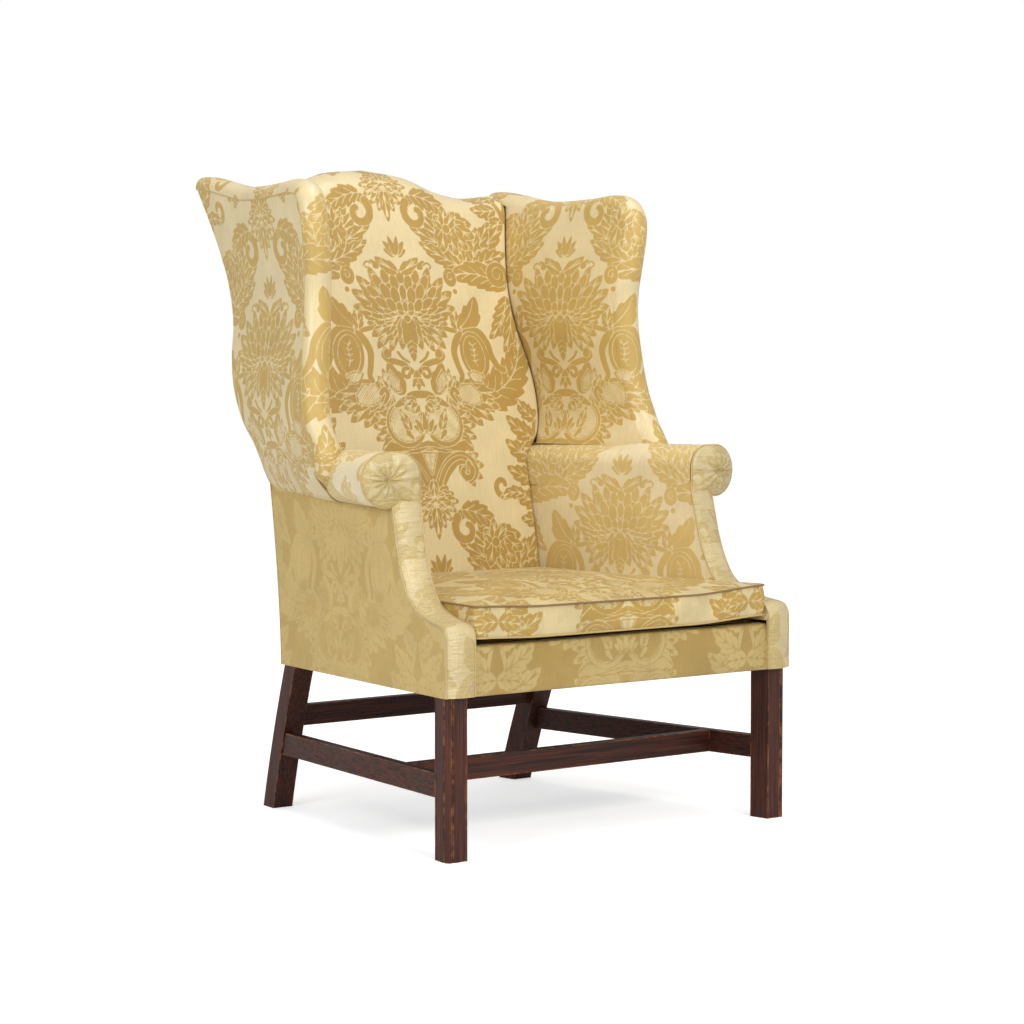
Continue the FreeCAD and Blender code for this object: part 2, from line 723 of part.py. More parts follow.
def arms(nodes):
    """Post, rail and stuffing rail of each arm, its stuffed roll and pad, facing and outer panel."""
    b0 = cover + gap
    b1 = b0 + frame_board
    roll_back = rear(arm_height)
    face_back = arm_scroll_front + cover
    roll = arm_roll_solid(face_back + gap, roll_back)
    roll = roll.common(side_slab(-reach, arm_thickness)).common(ahead_of_back(back_thickness + gap))
    roll_room = arm_roll_solid(face_back - 5.0, roll_back + 20.0, gap)

    rail_z1 = arm_height - arm_scroll_radius
    rail_z0 = rail_z1 - arm_rail_height
    post_inset = cover + gap
    post_slab = side_slab(b0, arm_thickness - cover - gap)
    leg_back = front_leg + gap
    post = post_slab.common(arm_outline(post_inset, rail_top, rail_z0))
    post = post.cut(arm_outline(post_inset + arm_post_depth, 0.0, 2.0 * reach))
    post = post.common(box(0, reach, leg_back, reach, rail_top, rail_z0))
    post = post.cut(roll_room)
    pair(nodes, "arm_post", biggest(post))

    ahead = ahead_of_back(stile_front)
    rail_front = face_back + gap
    rail = side_slab(b0, b1).common(box(0, reach, rail_front, reach, rail_z0, rail_z1))
    rail = rail.common(ahead)
    pair(nodes, "arm_rail", rail)
    low_z0, low_z1 = rail_top + stuffing_rail_bottom, rail_top + stuffing_rail_top
    low_rail = side_slab(b0, b1).common(box(0, reach, rail_front, reach, low_z0, low_z1))
    low_rail = low_rail.common(ahead).cut(post)
    pair(nodes, "arm_stuffing_rail", low_rail)

    rail_room = side_slab(b0 - gap, b1 + gap).common(
        box(0, reach, 0, reach, rail_z0 - 60.0, rail_z1 + gap)
    )
    panel_room = side_slab(-gap, b0).common(box(0, reach, 0, reach, 0, crease_height + gap))
    pad_slab = side_slab(b1 + gap, arm_thickness)
    pad = pad_slab.common(arm_outline(post_inset, rail_top + block_rise + gap, rail_z1))
    pad = pad.fuse(arm_top_solid(face_back + gap, roll_back + 20.0)).cut(roll_room).cut(rail_room)
    pad = pad.common(ahead_of_back(back_thickness + gap))
    behind_post = arm_outline(post_inset + arm_post_depth + gap, -1.0, 3.0 * reach)
    post_room = arm_outline(0.0, 0.0, 2.0 * reach).cut(behind_post)
    post_room = post_room.common(side_slab(0, arm_thickness - cover))
    pad = pad.cut(post_room)
    pair(nodes, "inside_arm", biggest(pad))
    roll = roll.cut(rail_room).cut(panel_room)
    pair(nodes, "arm_roll", biggest(roll))
    hessian = nodes["back_hessian"]
    nodes["back_hessian"] = hessian.cut(rail_room).cut(mirrored(rail_room))

    skin = side_slab(0.0, cover).common(arm_outline(cover + gap, rail_bottom, crease_height))
    skin = skin.common(ahead_of_back(cover + gap))
    pair(nodes, "outside_arm", skin)

    band = side_slab(0.0, arm_thickness).common(arm_outline(0.0, rail_bottom, rail_z0))
    band = band.cut(arm_outline(cover, -1.0, 3.0 * reach))
    centre, radius = scroll_centre(arm_scroll_front)
    disc = Part.makeCylinder(radius, cover, centre, Vector(0, 1, 0))
    neck = side_slab(0.0, arm_thickness).common(
        box(0, reach, arm_scroll_front, arm_scroll_front + cover, crease_height, rail_z0 + 8.0)
    )
    facing = band.fuse(neck).fuse(disc).removeSplitter()
    pair(nodes, "arm_facing", facing)


def seat_support(nodes):
    """Webbing, hessian, stuffing and cover of the seat deck, and the front border."""
    inner = arm_thickness + gap
    y1 = seat_depth - back_thickness
    room = side_slab(inner, reach).common(box(0, reach, 0, y1 + 40.0, 0, reach))
    room = room.common(ahead_of_back(back_thickness + gap))
    room = room.fuse(mirrored(room)).removeSplitter()
    z = rail_top
    long_strips, cross_strips = [], []
    for k in range(-2, 3):
        x = k * seat_web_pitch
        long_strips.append(box(
            x - webbing_width / 2.0, x + webbing_width / 2.0, 4.0, y1 + 30.0, z, z + webbing_thick
        ))
    z += webbing_thick
    rail_line = cover + gap + 8.0
    first_y = front_leg + arm_post_depth + 60.0
    last_y = seat_depth - 90.0
    for k in range(5):
        y = first_y + k * (last_y - first_y) / 4.0
        half = side(y + webbing_width / 2.0) - rail_line
        cross_strips.append(box(
            -half, half, y - webbing_width / 2.0, y + webbing_width / 2.0, z, z + webbing_thick
        ))
    nodes["seat_webbing_lengthwise"] = Part.makeCompound(long_strips)
    nodes["seat_webbing_crosswise"] = Part.makeCompound(cross_strips)
    z += webbing_thick
    hessian = room.common(box(-reach, reach, 4.0, reach, z, z + hessian_thick))
    leg_space = front_leg + gap
    between_legs = side(leg_space) - cover - leg_space - 2.0
    keep = box(-reach, reach, leg_space, reach, 0, reach).fuse(
        box(-between_legs, between_legs, 0, reach, 0, reach)
    )
    nodes["seat_hessian"] = hessian.common(keep)
    z += hessian_thick
    stuffing = room.common(box(-reach, reach, deck_setback, reach, z, z + deck_pad))
    nodes["seat_stuffing"] = stuffing
    z += deck_pad
    nodes["seat_deck_cover"] = room.common(
        box(-reach, reach, deck_setback, reach, z, z + deck_cover)
    )
    deck_top = z + deck_cover

    fold = rail_top + 2.0 * webbing_thick + hessian_thick + gap
    half_front = side(0.0) - arm_thickness - gap
    corners = [
        (-cover, rail_bottom), (-gap, rail_bottom), (-gap, fold), (deck_setback - gap, fold),
        (deck_setback - gap, fold + cover), (-cover, fold + cover),
    ]
    outline = [Vector(-half_front, y, z_value) for y, z_value in corners]
    border = polygon_solid(outline, Vector(2.0 * half_front, 0, 0))
    between_arms = side_slab(arm_thickness + gap, reach)
    nodes["front_border"] = border.common(between_arms).common(mirrored(between_arms))
    return deck_top


def seat_cushion(nodes, deck_top):
    """Boxed cushion with a crowned top, sides drawn in between its corners, and piped edges."""
    bottom = deck_top + gap
    top = bottom + cushion_border
    rim = piping + gap
    front_y = piping - cushion_overhang
    back_y = rear(bottom) - back_thickness - back_clearance - rim
    # Share of the way back, share of the crown and share of the drawing in
    stations = [
        (0.0, 0.05, 0.0),
        (0.22, 0.72, 0.85),
        (0.5, 1.0, 1.0),
        (0.78, 0.8, 0.85),
        (1.0, 0.1, 0.0),
    ]
    sections = []
    for share, crown, drawn in stations:
        y = front_y + share * (back_y - front_y)
        half = side(y) - arm_thickness - side_clearance - rim - drawn * cushion_drawn_in
        rise = max(1.0, cushion_crown * crown)
        left_low, right_low = Vector(-half, y, bottom), Vector(half, y, bottom)
        left_top, right_top = Vector(-half, y, top), Vector(half, y, top)
        crown_arc = Part.Arc(right_top, Vector(0, y, top + rise), left_top).toShape()
        sections.append(Part.Wire([
            line(left_low, right_low), line(right_low, right_top), crown_arc, line(left_top, left_low)
        ]))
    nodes["seat_cushion"] = Part.makeLoft(sections, True, False)

    def rim_outline(grow, z):
        points = []
        for share, _, drawn in stations:
            y = front_y + share * (back_y - front_y)
            half = side(y) - arm_thickness - side_clearance - rim - drawn * cushion_drawn_in
            points.append((half + grow, y))
        points[0] = (points[0][0], points[0][1] - grow)
        points[-1] = (points[-1][0], points[-1][1] + grow)
        right = [Vector(x, y, z) for x, y in points]
        left = [Vector(-p.x, p.y, z) for p in reversed(right)]
        return Part.Face(Part.Wire([
            spline(right), line(right[-1], left[0]), spline(left), line(left[-1], right[0])
        ]))

    rings = []
    for z in (bottom, top - piping):
        ring = rim_outline(gap + piping, z).cut(rim_outline(gap, z))
        rings.append(ring.extrude(Vector(0, 0, piping)))
    nodes["cushion_piping"] = Part.makeCompound(rings)


def dust_cover(nodes):
    """Cloth under the seat frame, tacked to the rails all round."""
    top = rail_bottom
    margin = dust_cover_margin
    y0, y1 = margin, seat_depth - cover - margin
    half = side_slab(margin, reach).common(
        box(0, reach, y0, y1, top - dust_cover_thick, top)
    )
    sheet = half.fuse(mirrored(half)).removeSplitter()
    for name in ("front_leg_right", "front_leg_left", "rear_leg_right", "rear_leg_left"):
        leg = nodes[name]
        low = leg.BoundBox
        room = box(low.XMin - 1.0, low.XMax + 1.0, -10.0, front_leg + 2.0, 0, reach)
        if "rear" in name:
            start = seat_depth - cover - gap - frame_board - 24.0
            room = box(low.XMin - 4.0, low.XMax + 4.0, start, reach, 0, reach)
        sheet = sheet.cut(room)
    tacks = []
    inset = margin + 8.0
    leg_room = front_leg + 30.0
    y_first, y_last = leg_room, seat_depth - 90.0
    for k in range(tacks_per_side):
        y = y_first + k * (y_last - y_first) / (tacks_per_side - 1)
        for way in (1.0, -1.0):
            tacks.append(Vector(way * (side(y) - inset), y, 0))
    for y, reach_x in ((frame_board * 0.6, side(0) - 90.0), (y1 - 8.0, side(y1) - 90.0)):
        for k in range(tacks_per_side):
            x = -reach_x + 2.0 * reach_x * k / (tacks_per_side - 1)
            tacks.append(Vector(x, y, 0))
    bottom = top - dust_cover_thick
    solids = []
    for place in tacks:
        head = Part.makeCylinder(
            tack_head_radius, tack_head, Vector(place.x, place.y, bottom - tack_head)
        )
        shank = Part.makeCylinder(
            tack_shank_radius, tack_length, Vector(place.x, place.y, bottom - tack_head / 2.0)
        )
        solids.append(head.fuse(shank).removeSplitter())
    for tack in solids:
        sheet = sheet.cut(tack)
    for name in ("front_seat_rail", "rear_seat_rail", "side_seat_rail_right", "side_seat_rail_left"):
        rail = nodes[name]
        for tack in solids:
            rail = rail.cut(tack)
        nodes[name] = rail
    nodes["dust_cover"] = sheet
    nodes["dust_cover_tacks"] = Part.makeCompound(solids)


def build():
    nodes = {}
    leg_frame(nodes)
    corner_blocks(nodes)
    back_frame(nodes)
    back_covers(nodes)
    arms(nodes)
    wings(nodes)
    deck_top = seat_support(nodes)
    seat_cushion(nodes, deck_top)
    dust_cover(nodes)
    os.makedirs("parts", exist_ok=True)
    for name, shape in nodes.items():
        placed = shape.copy()
        placed.translate(Vector(0, -middle_y, 0))
        placed.exportStep(os.path.join("parts", name + ".step"))
        print(name, len(placed.Solids), placed.isValid(), round(placed.Volume / 1000.0, 1))


build()
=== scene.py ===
import math

import bpy
import numpy as np
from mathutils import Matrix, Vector


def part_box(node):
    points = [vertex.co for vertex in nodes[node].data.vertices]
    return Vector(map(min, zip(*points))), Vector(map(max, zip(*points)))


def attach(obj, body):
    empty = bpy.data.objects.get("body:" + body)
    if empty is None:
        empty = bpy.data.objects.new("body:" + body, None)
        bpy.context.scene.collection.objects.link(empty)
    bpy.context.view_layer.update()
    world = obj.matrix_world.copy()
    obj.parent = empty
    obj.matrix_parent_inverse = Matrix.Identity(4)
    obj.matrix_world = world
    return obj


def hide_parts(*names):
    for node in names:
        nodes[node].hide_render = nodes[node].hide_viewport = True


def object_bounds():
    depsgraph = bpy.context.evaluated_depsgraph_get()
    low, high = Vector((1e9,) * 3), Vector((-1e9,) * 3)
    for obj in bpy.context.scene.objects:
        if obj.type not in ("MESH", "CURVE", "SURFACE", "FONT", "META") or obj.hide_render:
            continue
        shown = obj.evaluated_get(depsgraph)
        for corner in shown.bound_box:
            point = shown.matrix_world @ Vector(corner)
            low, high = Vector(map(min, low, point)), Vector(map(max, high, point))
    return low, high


# Looks of the wingback armchair. Shapes are worked out in millimetres with Y counted back from
# the front face of the front legs, as the chair's frame is drawn, and moved into the frame's
# metres when a mesh is made.

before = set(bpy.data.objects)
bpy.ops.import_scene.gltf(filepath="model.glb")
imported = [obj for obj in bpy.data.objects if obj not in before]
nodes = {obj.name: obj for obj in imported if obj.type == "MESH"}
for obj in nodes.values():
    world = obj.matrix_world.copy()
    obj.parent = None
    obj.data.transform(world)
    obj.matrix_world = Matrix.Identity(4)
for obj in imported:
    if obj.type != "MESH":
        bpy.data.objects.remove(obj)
cad_low, cad_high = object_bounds()
CHAIR = "chair"
CUSHION = "loose_cushion"
WAYS = {"right": 1.0, "left": -1.0}


def level(node, corner, axis):
    """One coordinate of a node's box, in millimetres."""
    return 1000.0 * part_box(node)[corner][axis]


# Sizes taken from the frame
front_y = level("front_leg_right", 0, 1)
overall_height = 1000.0 * cad_high.z
rail_bottom = level("front_border", 0, 2)
rail_top = level("front_seat_rail", 1, 2)
arm_height = level("arm_roll_right", 1, 2)
deck_top = level("seat_deck_cover", 1, 2)
cushion_bottom = level("seat_cushion", 0, 2)

# Sizes of the upholstery
front_width = 737.0
rear_width = 594.0
seat_depth = 582.0
lower_rake = 55.0
upper_rake = 145.0
crease_height = 556.0
trough_drop = 44.0
ear_drop = 27.0
wing_top_drop = 52.0
cover = 3.0
arm_thickness = 52.0
wing_thickness = 50.0
back_thickness = 58.0
roll_over = 24.0
wing_front = 370.0
arm_scroll_front = 175.0
arm_scroll_radius = 45.0
arm_scroll_overhang = 56.0
rear_roll_radius = 43.0
rear_roll_overhang = 4.0
arm_top_radius = 40.0
piping_radius = 1.7

# Foot of the cloth inside the chair, the angle at which it leaves the underside of an arm roll,
# and the heights between which a wing sinks onto the roll
tuck_height = 346.0
roll_tuck = -124.0
sink_low = 570.0
sink_high = 606.0

# Heights between which the inside back's edges pass from the arms to the wings
meet_low = 596.0
meet_high = 664.0

# Where the damask lies on each cover: its axis across and its calyx up, in millimetres of cloth
LAID = {
    "inside_back": (15.0, 875.0),
    "inside_wing": (525.0, 877.0),
    "outside_wing": (545.0, 790.0),
    "arm": (337.0, 478.0),
    "gathered": (200.0, 900.0),
    "outside_arm": (360.0, 515.0),
    "outside_back": (0.0, 700.0),
    "front_rail": (0.0, 520.0),
    "cushion": (0.0, 210.0),
    "deck": (0.0, 900.0),
}

# Colours of the cloth: its ground and its figure, mostly in lit and shaded copies of the one damask by where
# the piece stands in the light, with that light, shade and satin sheen painted into them
CREAM = (0.675, 0.553, 0.308, 1.0)
BRIGHT_CREAM = (0.735, 0.630, 0.400, 1.0)
SHADED_CREAM = (0.600, 0.480, 0.245, 1.0)
DULL_CREAM = (0.565, 0.455, 0.235, 1.0)
GOLD = (0.415, 0.258, 0.055, 1.0)
WARM_GOLD = (0.500, 0.335, 0.090, 1.0)
BRIGHT_GOLD = (0.605, 0.445, 0.165, 1.0)
SHADED_GOLD = (0.420, 0.265, 0.053, 1.0)
DEEP = (0.365, 0.240, 0.060, 1.0)
AMBER = (0.485, 0.328, 0.082, 1.0)
PALE = (0.558, 0.405, 0.142, 1.0)
CORD = (0.50, 0.36, 0.135, 1.0)
SOILED = (0.22, 0.125, 0.038, 1.0)
SOFT = (0.470, 0.345, 0.128, 1.0)
MID = (0.49, 0.37, 0.15, 1.0)

# Light of the world on the chair, and what the camera sees added to the lit floor
WORLD_LIGHT = 0.56
FLOOR_GLOW = 0.53

taper = (front_width - rear_width) / 2.0 / seat_depth
spacing = 2.3


def smooth(points, u):
    """Value of a smooth curve through the points at u, level past its ends."""
    xs, ys = np.array(points, float).T
    slope = np.empty_like(ys)
    slope[1:-1] = (ys[2:] - ys[:-2]) / (xs[2:] - xs[:-2])
    slope[0] = (ys[1] - ys[0]) / (xs[1] - xs[0])
    slope[-1] = (ys[-1] - ys[-2]) / (xs[-1] - xs[-2])
    u = np.clip(u, xs[0], xs[-1])
    i = np.clip(np.searchsorted(xs, u, side="right") - 1, 0, len(xs) - 2)
    span = xs[i + 1] - xs[i]
    t = (u - xs[i]) / span
    return (
        ys[i] * (2 * t ** 3 - 3 * t ** 2 + 1)
        + ys[i + 1] * (3 * t ** 2 - 2 * t ** 3)
        + slope[i] * span * (t ** 3 - 2 * t ** 2 + t)
        + slope[i + 1] * span * (t ** 3 - t ** 2)
    )


def ease(low, high, value):
    """0 below low, 1 above high and smooth between."""
    t = np.clip((value - low) / (high - low), 0.0, 1.0)
    return t * t * (3.0 - 2.0 * t)


def upper(share):
    """Height at a share of the way from the arm top to the crest."""
    return arm_height + share * (overall_height - arm_height)


def side(y):
    """Half the chair's width over the side covers at depth y."""
    return front_width / 2.0 - taper * y


def rear(z):
    """Depth of the outside back at height z."""
    share = np.clip((z - rail_bottom) / (arm_height - rail_bottom), 0.0, 1.0)
    above = np.maximum(z - arm_height, 0.0) / (overall_height - arm_height)
    return seat_depth + lower_rake * share ** 1.6 + upper_rake * above


# Outward swing of the serpentine side of the back, past the straight side line, by height
back_swing = [
    (crease_height, 0.0),
    (crease_height + 44.0, 9.0),
    (upper(0.0), 23.0),
    (upper(0.09), 42.0),
    (upper(0.2), 51.0),
    (upper(0.31), 47.0),
    (upper(0.43), 35.0),
    (upper(0.56), 34.0),
    (upper(0.68), 44.0),
    (upper(0.79), 58.0),
    (upper(0.9), 74.0),
    (upper(1.0), 84.0),
]

# Half the chair's width over the leading edges of the wings, past the front legs, by height
wing_flare = [
    (crease_height, 2.0),
    (upper(0.0), 8.0),
    (upper(0.09), 14.0),
    (upper(0.2), 10.0),
    (upper(0.31), 4.0),
    (upper(0.43), -1.0),
    (upper(0.56), -1.5),
    (upper(0.68), 4.0),
    (upper(0.79), 10.0),
    (upper(0.9), 10.5),
    (upper(1.0), 10.5),
]

# Crest line of the back: distance from the middle and drop from the highest point
crest = [(0.0, 0.0), (88.0, 10.0), (152.0, 33.0), (215.0, trough_drop), (280.0, 38.0), (345.0, ear_drop)]

# Leading and top edge of a wing in side view
wing_edge = [
    (326.0, arm_height - 66.0),
    (319.0, arm_height - 30.0),
    (321.0, arm_height),
    (349.0, upper(0.09)),
    (368.0, upper(0.2)),
    (378.0, upper(0.36)),
    (380.0, upper(0.5)),
    (373.0, upper(0.65)),
    (370.0, upper(0.76)),
    (377.0, upper(0.835)),
    (399.0, upper(0.887)),
    (440.0, overall_height - wing_top_drop + 3.0),
    (490.0, overall_height - wing_top_drop),
    (555.0, overall_height - wing_top_drop - 2.0),
    (612.0, overall_height - wing_top_drop),
    (668.0, overall_height - 0.8 * wing_top_drop),
    (722.0, overall_height - ear_drop - 4.0),
    (760.0, overall_height - ear_drop),
]

# Front edge of an arm in side view, from the bottom of the rail to the neck of the scroll
facing_path = [
    (-cover, rail_bottom),
    (-cover, 300.0),
    (-cover, 340.0),
    (-1.5, 360.0),
    (8.0, 372.5),
    (47.0, 380.0),
    (95.0, 394.5),
    (122.5, 415.0),
    (142.0, 449.0),
    (156.0, 488.0),
    (165.0, 525.0),
    (172.0, 556.0),
    (177.0, 580.0),
]


def crest_height(x):
    return overall_height - smooth(crest, np.abs(x))


def wing_face(y, z):
    """Half the width over the outside of the wings at depth y and height z."""
    back_x = side(rear(z)) + smooth(back_swing, z)
    front_x = front_width / 2.0 + smooth(wing_flare, z)
    return back_x + (front_x - back_x) * (rear(z) - y) / (rear(z) - wing_front)


def roll_at(y):
    """Across, height and radius of the arm roll at depth y, on the right."""
    share = np.clip((y - arm_scroll_front) / (rear(arm_height) - arm_scroll_front), 0.0, 1.0)
    radius = arm_scroll_radius + share * (rear_roll_radius - arm_scroll_radius)
    overhang = arm_scroll_overhang + share * (rear_roll_overhang - arm_scroll_overhang)
    return side(y) + overhang - radius, arm_height - radius, radius


def dense(points, step):
    """Points a steady step apart along a smooth curve through the given ones."""
    points = np.array(points, float)
    knots = np.concatenate([[0.0], np.cumsum(np.linalg.norm(np.diff(points, axis=0), axis=1))])
    fine = np.linspace(0.0, knots[-1], 40 * len(points))
    curve = np.stack([smooth(np.stack([knots, c], 1), fine) for c in points.T], 1)
    length = np.concatenate([[0.0], np.cumsum(np.linalg.norm(np.diff(curve, axis=0), axis=1))])
    count = max(2, int(round(length[-1] / step)) + 1)
    want = np.linspace(0.0, length[-1], count)
    return np.stack([np.interp(want, length, c) for c in curve.T], 1)


def run_length(points, axis=0):
    """Distance along a grid's rows or columns, from the first."""
    gaps = np.linalg.norm(np.diff(points, axis=axis), axis=-1)
    start = np.zeros_like(np.take(gaps, [0], axis=axis))
    return np.concatenate([start, np.cumsum(gaps, axis=axis)], axis=axis)


def unit(vectors):
    """Vectors along the last axis, brought to length 1."""
    return vectors / np.linalg.norm(vectors, axis=-1)[..., None]


def nearest(path, y, z):
    """Number of the path's point nearest a depth and height."""
    return int(np.argmin(np.hypot(path[:, 0] - y, path[:, 1] - z)))


def placed(points):
    """Millimetres behind the front legs' face, as metres in the frame."""
    return (np.asarray(points, float) + np.array([0.0, front_y, 0.0])) * 0.001


def mesh_object(name, points, faces, material, cloth=None, figure=None):
    """A smooth-shaded mesh from points in millimetres, with its cloth coordinates and damask figure."""
    mesh = bpy.data.meshes.new(name)
    mesh.from_pydata(placed(points).tolist(), [], [list(f) for f in faces])
    mesh.polygons.foreach_set("use_smooth", np.ones(len(mesh.polygons), bool))
    if cloth is not None:
        spread = np.zeros((len(cloth), 3), np.float32)
        spread[:, :2] = cloth
        layer = mesh.attributes.new("cloth", "FLOAT_VECTOR", "POINT")
        layer.data.foreach_set("vector", spread.ravel())
    if figure is not None:
        layer = mesh.attributes.new("figure", "FLOAT", "POINT")
        layer.data.foreach_set("value", np.asarray(figure, np.float32))
    mesh.materials.append(material)
    piece = bpy.data.objects.new(name, mesh)
    bpy.context.scene.collection.objects.link(piece)
    return piece


def grid_faces(rows, columns, start=0, flip=False):
    """Quads of a grid of points numbered row by row."""
    at = start + np.arange(rows * columns).reshape(rows, columns)
    corners = [at[:-1, :-1], at[:-1, 1:], at[1:, 1:], at[1:, :-1]]
    faces = np.stack([c.ravel() for c in corners], 1)
    return faces[:, ::-1] if flip else faces


def band_faces(at):
    """Quads of a band of point numbers whose rows close on themselves."""
    beside = np.roll(at, -1, 1)
    corners = [at[:-1], beside[:-1], beside[1:], at[1:]]
    return np.stack([c.ravel() for c in corners], 1)


def mirrored(points):
    return points * np.array([-1.0, 1.0, 1.0])


def ride(piece, slot, *replaced, body=CHAIR):
    """Tie a piece to its body, in place of the CAD nodes that it stands for; slot is not used."""
    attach(piece, body)
    if replaced:
        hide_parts(*replaced)
    return piece


def grid_piece(name, points, way, material, cloth, place, flip=False):
    """A cloth-covered piece from a grid of points on the right-hand side, mirrored for the left."""
    rows, columns = points.shape[:2]
    flat = points.reshape(-1, 3)
    if way < 0:
        flat = mirrored(flat)
    faces = grid_faces(rows, columns, flip=(way < 0) != flip)
    cloth = cloth.reshape(-1, 2)
    return mesh_object(name, flat, faces, material, cloth, damask(cloth, place))


def tube(name, paths, radius, material, body=CHAIR, sides=8, closed=False, replaced=(), dark=()):
    """One mesh of cloth-covered cord along each path, with rounded ends. dark numbers the soiled ones."""
    all_points = []
    all_faces = []
    tones = []
    start = 0
    for number, path in enumerate(paths):
        path = np.asarray(path, float)
        ahead = np.roll(path, -1, 0) - np.roll(path, 1, 0)
        if not closed:
            ahead[0] = path[1] - path[0]
            ahead[-1] = path[-1] - path[-2]
        ahead = unit(ahead)
        guide = np.array([0.31, 0.17, 0.94])
        across = np.empty_like(ahead)
        for i, tangent in enumerate(ahead):
            guide = guide - tangent * (guide @ tangent)
            guide = guide / np.linalg.norm(guide)
            across[i] = guide
        up = np.cross(ahead, across)
        count = len(path)
        size = np.full(count, radius)
        if not closed:
            size[0] = size[-1] = 0.25 * radius
        turn = np.linspace(0.0, 2.0 * math.pi, sides, endpoint=False)
        ring = across[:, None] * np.cos(turn)[None, :, None] + up[:, None] * np.sin(turn)[None, :, None]
        points = path[:, None] + ring * size[:, None, None]
        at = start + np.arange(count * sides).reshape(count, sides)
        if closed:
            at = np.concatenate([at, at[:1]])
        all_faces.append(band_faces(at))
        all_points.append(points.reshape(-1, 3))
        tones += [3.0 if number in dark else -3.0] * (count * sides)
        start += count * sides
    points = np.concatenate(all_points)
    length = points[:, 1] * 0.7 + points[:, 2]
    cloth = np.stack([points[:, 0] + points[:, 1], length], 1)
    piece = mesh_object(name, points, np.concatenate(all_faces), material, cloth, tones)
    return ride(piece, "damask", *replaced, body=body)


# The damask's repeat in millimetres: mirrored about its axis, and counted up from its calyx
REPEAT_WIDE = 540.0
REPEAT_HIGH = 580.0
VEIN_HALF = 0.9


class Loom:
    """One half of the damask's repeat as signed distances in millimetres, painted leaf over leaf."""

    def __init__(self):
        self.across = np.arange(0.0, REPEAT_WIDE / 2.0 + 1.0)
        self.rows = int(REPEAT_HIGH)
        self.figure = np.full((self.rows, len(self.across)), -40.0)
        self.vein = np.full_like(self.figure, 40.0)

    def patch(self, points, margin=8.0):
        """Row numbers, column slice and coordinates of the canvas round some points."""
        low, high = points.min(0) - margin, points.max(0) + margin
        q = np.arange(math.floor(low[1]), math.ceil(high[1]) + 1.0)
        first = int(np.clip(math.floor(low[0]), 0, len(self.across) - 1))
        last = int(np.clip(math.ceil(high[0]) + 1, 1, len(self.across)))
        p = self.across[first:last]
        index = np.ix_(np.mod(q, self.rows).astype(int), np.arange(first, last))
        return index, np.stack(np.meshgrid(p, q), -1)

    def paint(self, index, inside, veins=None):
        """Lay a shape over what is there, with its own veins and a line where it overlaps."""
        figure, vein = self.figure[index], self.vein[index]
        vein = np.where(inside > 0.0, 40.0, vein)
        vein = np.where(figure > 0.0, np.minimum(vein, np.abs(inside)), vein)
        if veins is not None:
            vein = np.where(inside > 0.0, np.minimum(vein, veins), vein)
        self.figure[index] = np.maximum(figure, inside)
        self.vein[index] = vein

    def polygon(self, points, veins=(), hatch=0.0):
        index, grid = self.patch(points)
        inside = polygon_distance(points, grid)
        lines = line_distance(veins, grid) if len(veins) else None
        if hatch:
            slope = np.abs((grid[..., 0] + grid[..., 1]) % hatch - hatch / 2.0)
            other = np.abs((grid[..., 0] - grid[..., 1]) % hatch - hatch / 2.0)
            net = np.minimum(slope, other) * 0.75
            net = np.where(inside > 2.5, net, 40.0)
            lines = net if lines is None else np.minimum(lines, net)
        self.paint(index, inside, lines)

    def stroke(self, path, width, end_width=None):
        """A band along a path, tapering to its end."""
        path = dense(path, 4.0) if len(path) > 2 else np.asarray(path, float)
        end_width = width if end_width is None else end_width
        index, grid = self.patch(path, 8.0 + max(width, end_width))
        widths = np.linspace(width, end_width, len(path))
        best = np.full(grid.shape[:2], -40.0)
        for a, b, w in zip(path[:-1], path[1:], widths[:-1]):
            best = np.maximum(best, w - line_distance([np.stack([a, b])], grid))
        self.paint(index, best)

    def cut(self, path):
        """A line of ground through the figure."""
        path = dense(path, 4.0) if len(path) > 2 else np.asarray(path, float)
        index, grid = self.patch(path)
        self.vein[index] = np.minimum(self.vein[index], line_distance([path], grid))

    def leaf(self, base, tip, width, lobes=5, bend=0.0, depth=0.28, veins=True, hatch=0.0, fullness=0.75):
        """A lobed leaf along a curved midrib, with a vein to each lobe."""
        base = np.array(base, float)
        tip = np.array(tip, float)
        along = tip - base
        across = np.array([-along[1], along[0]])
        knee = (base + tip) / 2.0 + across * bend
        t = np.linspace(0.0, 1.0, 8 * lobes + 1)
        spine = quadratic(base, knee, tip, t)
        ahead = unit(np.gradient(spine, axis=0))
        normal = np.stack([-ahead[:, 1], ahead[:, 0]], 1)
        body = np.sin(math.pi * t ** fullness) ** 0.75 * (1.0 - 0.25 * t)
        part = (t * lobes) % 1.0
        saw = np.where(part < 0.75, (part / 0.75) ** 0.7, (1.0 - part) / 0.25)
        reach = width / 2.0 * body * (1.0 - depth + depth * saw)
        push = ahead * (saw * body * width * 0.07)[:, None]
        left = spine + normal * reach[:, None] + push
        right = spine - normal * reach[:, None] + push
        outline = np.concatenate([left, right[::-1]])
        lines = []
        if veins:
            lines.append(spine[: int(0.86 * len(spine))])
            for k in range(1, lobes):
                a = int((k - 0.45) / lobes * (len(t) - 1))
                b = min(len(t) - 1, int((k + 0.55) / lobes * (len(t) - 1)))
                for way in (1.0, -1.0):
                    end = spine[b] + normal[b] * way * reach[b] * 0.62
                    lines.append(np.stack([spine[a], (spine[a] + end) / 2.0 + ahead[a] * width * 0.03, end]))
        self.polygon(outline, lines, hatch)

    def spray(self, base, tips, width, **more):
        """Leaves of one kind from one base."""
        for tip in tips:
            self.leaf(base, tip, width, **more)

    def sprays(self, base, tips, **more):
        """Leaves from one base, each with a width of its own."""
        for tip, width in tips:
            self.leaf(base, tip, width, **more)

    def ellipse(self, centre, size, tilt=0.0, **more):
        self.polygon(ellipse_points(centre, size, tilt), **more)

    def field(self):
        return np.minimum(self.figure, self.vein - VEIN_HALF)


